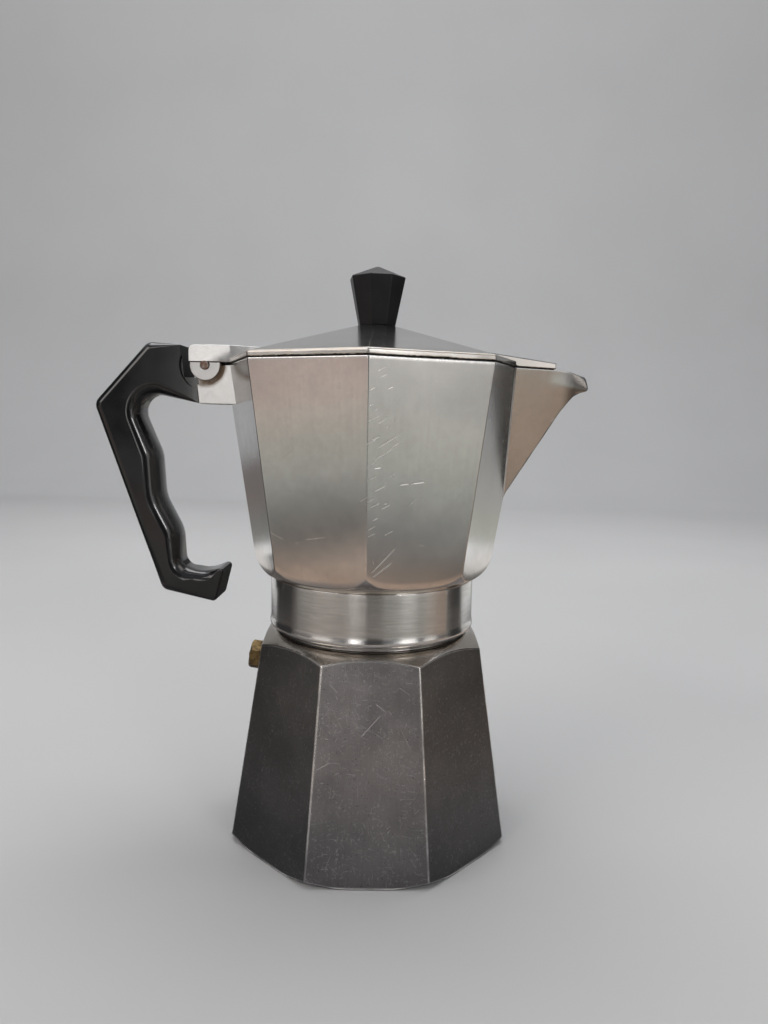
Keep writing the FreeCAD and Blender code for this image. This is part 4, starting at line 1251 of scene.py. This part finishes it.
def stage():
    """Floor that sweeps up into a wall far behind, and a plain surround for the other sides."""
    half, back, front, bend, height = 2.6, 1.6, 0.4, 0.45, 2.6
    sweep = [(bend - bend * sin(turn), bend - bend * cos(turn)) for turn in spaced(0, QUARTER, 12)] + [(0, height)]
    ends = [((-half, back), (0, -1)), ((half, back), (0, -1))]
    staged("floor", *swept([(back + front + half + bend, 0)] + sweep, ends), pale_floor())
    line = [((half, back), (-1, 0))]
    for turn in spaced(0, pi, 40):
        c, s = cos(turn), sin(turn)
        line.append(((half * c, -front - half * s), (-c, s)))
    line.append(((-half, back), (1, 0)))
    staged("surround", *swept(sweep, line), pale_wall(), *SEEN_ONLY)


stage()
TABLE = 1.5
staged("table", [(-TABLE, -TABLE, MM), (TABLE, -TABLE, MM), (TABLE, TABLE, MM), (-TABLE, TABLE, MM)], [[0, 1, 2, 3]],
       table_tones(), *MIRRORED_ONLY)


def softbox(name, at, target, size, power, colour):
    data = bpy.data.lights.new(name, "AREA")
    data.shape = "RECTANGLE"
    data.size, data.size_y = size
    data.energy = power
    data.color = colour
    lamp = shown(name, data)
    lamp.location = at
    lamp.rotation_euler = (Vector(target) - Vector(at)).to_track_quat("-Z", "Y").to_euler()


softbox("key", (-1, -0.8, 0.95), (0, 0, 0.12), (0.9, 0.8), 6, (1, 0.94, 0.89))
softbox("band", (-1.02, -0.8, 0.26), (0, 0, 0.18), (0.5, 0.3), 0.34, (1, 0.94, 0.88))
softbox("front", (-0.27, -1, 0.26), (-0.06, 0, 0.17), (0.16, 0.34), 0.5, (1, 0.98, 0.95))
softbox("fill", (0.76, -0.81, 0.32), (0, 0, 0.14), (0.34, 0.56), 0.85, (1, 0.97, 0.94))
softbox("spark", (0.6, -0.83, 0.52), (-0.1, 0, 0.13), (0.16, 0.13), 0.9, (1, 0.98, 0.96))
softbox("side", (1.05, -0.4, 0.28), (0, 0, 0.17), (0.3, 0.3), 0.36, (1, 0.94, 0.88))
softbox("top", (0, 0.3, 1.2), (0, 0.1, 0.1), (1.1, 0.8), 7, (1, 1, 1))
softbox("wall", (0, 0.5, 1.3), (0, 1.6, 0.4), (1.6, 0.4), 5.5, (0.97, 0.98, 1))


def card(name, start, end, height, shade, glow):
    """Upright card that shows only in what the metal mirrors."""
    t = Tree(name)
    tone = t.noise(0.01, 1)
    material = t.finish(Base_Color=t.mix(tone, grey(shade), grey(shade * 1.5)), Roughness=0.9,
                        Emission_Color=grey(1), Emission_Strength=glow)
    corners = [(*start, MM), (*end, MM), (*end, height), (*start, height)]
    staged(name, corners, [[0, 1, 2, 3]], material, *MIRRORED_ONLY)


card("card_left", (-0.3, -0.03), (-0.3, 0.2), 0.32, 0.02, 0)
card("card_right", (0.3, 0.01), (0.3, 0.14), 0.3, 0.02, 0)
card("card_front", (-0.02, -0.5), (0.13, -0.5), 0.5, 0.02, 0)
card("card_pale_left", (-0.3, 0.22), (-0.2, 0.4), 0.028, 0.5, 0.5)
card("card_pale_right", (0.3, 0.16), (0.22, 0.38), 0.028, 0.5, 0.5)


# Dim studio: darkest at eye level, warmer below and lighter overhead
SKY = [(0.0, (0.16, 0.14, 0.125)), (0.36, (0.22, 0.185, 0.16)), (0.46, (0.06, 0.058, 0.056)),
       (0.56, (0.07, 0.072, 0.076)), (0.7, (0.3, 0.31, 0.33)), (1.0, (0.34, 0.35, 0.37))]
sky = Tree("studio", "worlds", "Background")
height = sky.split(sky.add("TexCoord", output="Generated"))[2]
ramp = sky.node("ValToRGB", {0: height * 0.5 + 0.5})
for position, _ in SKY[1:-1]:
    ramp.color_ramp.elements.new(position)
for element, (_, colour) in zip(ramp.color_ramp.elements, SKY):
    element.color = (*colour, 1)
scene = bpy.context.scene
scene.world = sky.finish(Color=Value(sky, ramp.outputs["Color"]))
scene.view_settings.view_transform = "Standard"

lens = bpy.data.cameras.new("camera")
lens.sensor_width = 36
lens.lens = 26.28
lens.clip_start = 0.01
forward = Vector((-0.0279, 0.9925, -0.1189)).normalized()
right = Vector((0.9993, 0.0305, 0.0201))
right = (right - forward * right.dot(forward)).normalized()
view = Matrix((right, right.cross(forward), -forward)).transposed().to_4x4()
view.translation = Vector((12.31, -289.75, 158.92)) * MM
scene.camera = shown("camera", lens)
scene.camera.matrix_world = view

bpy.context.view_layer.update()
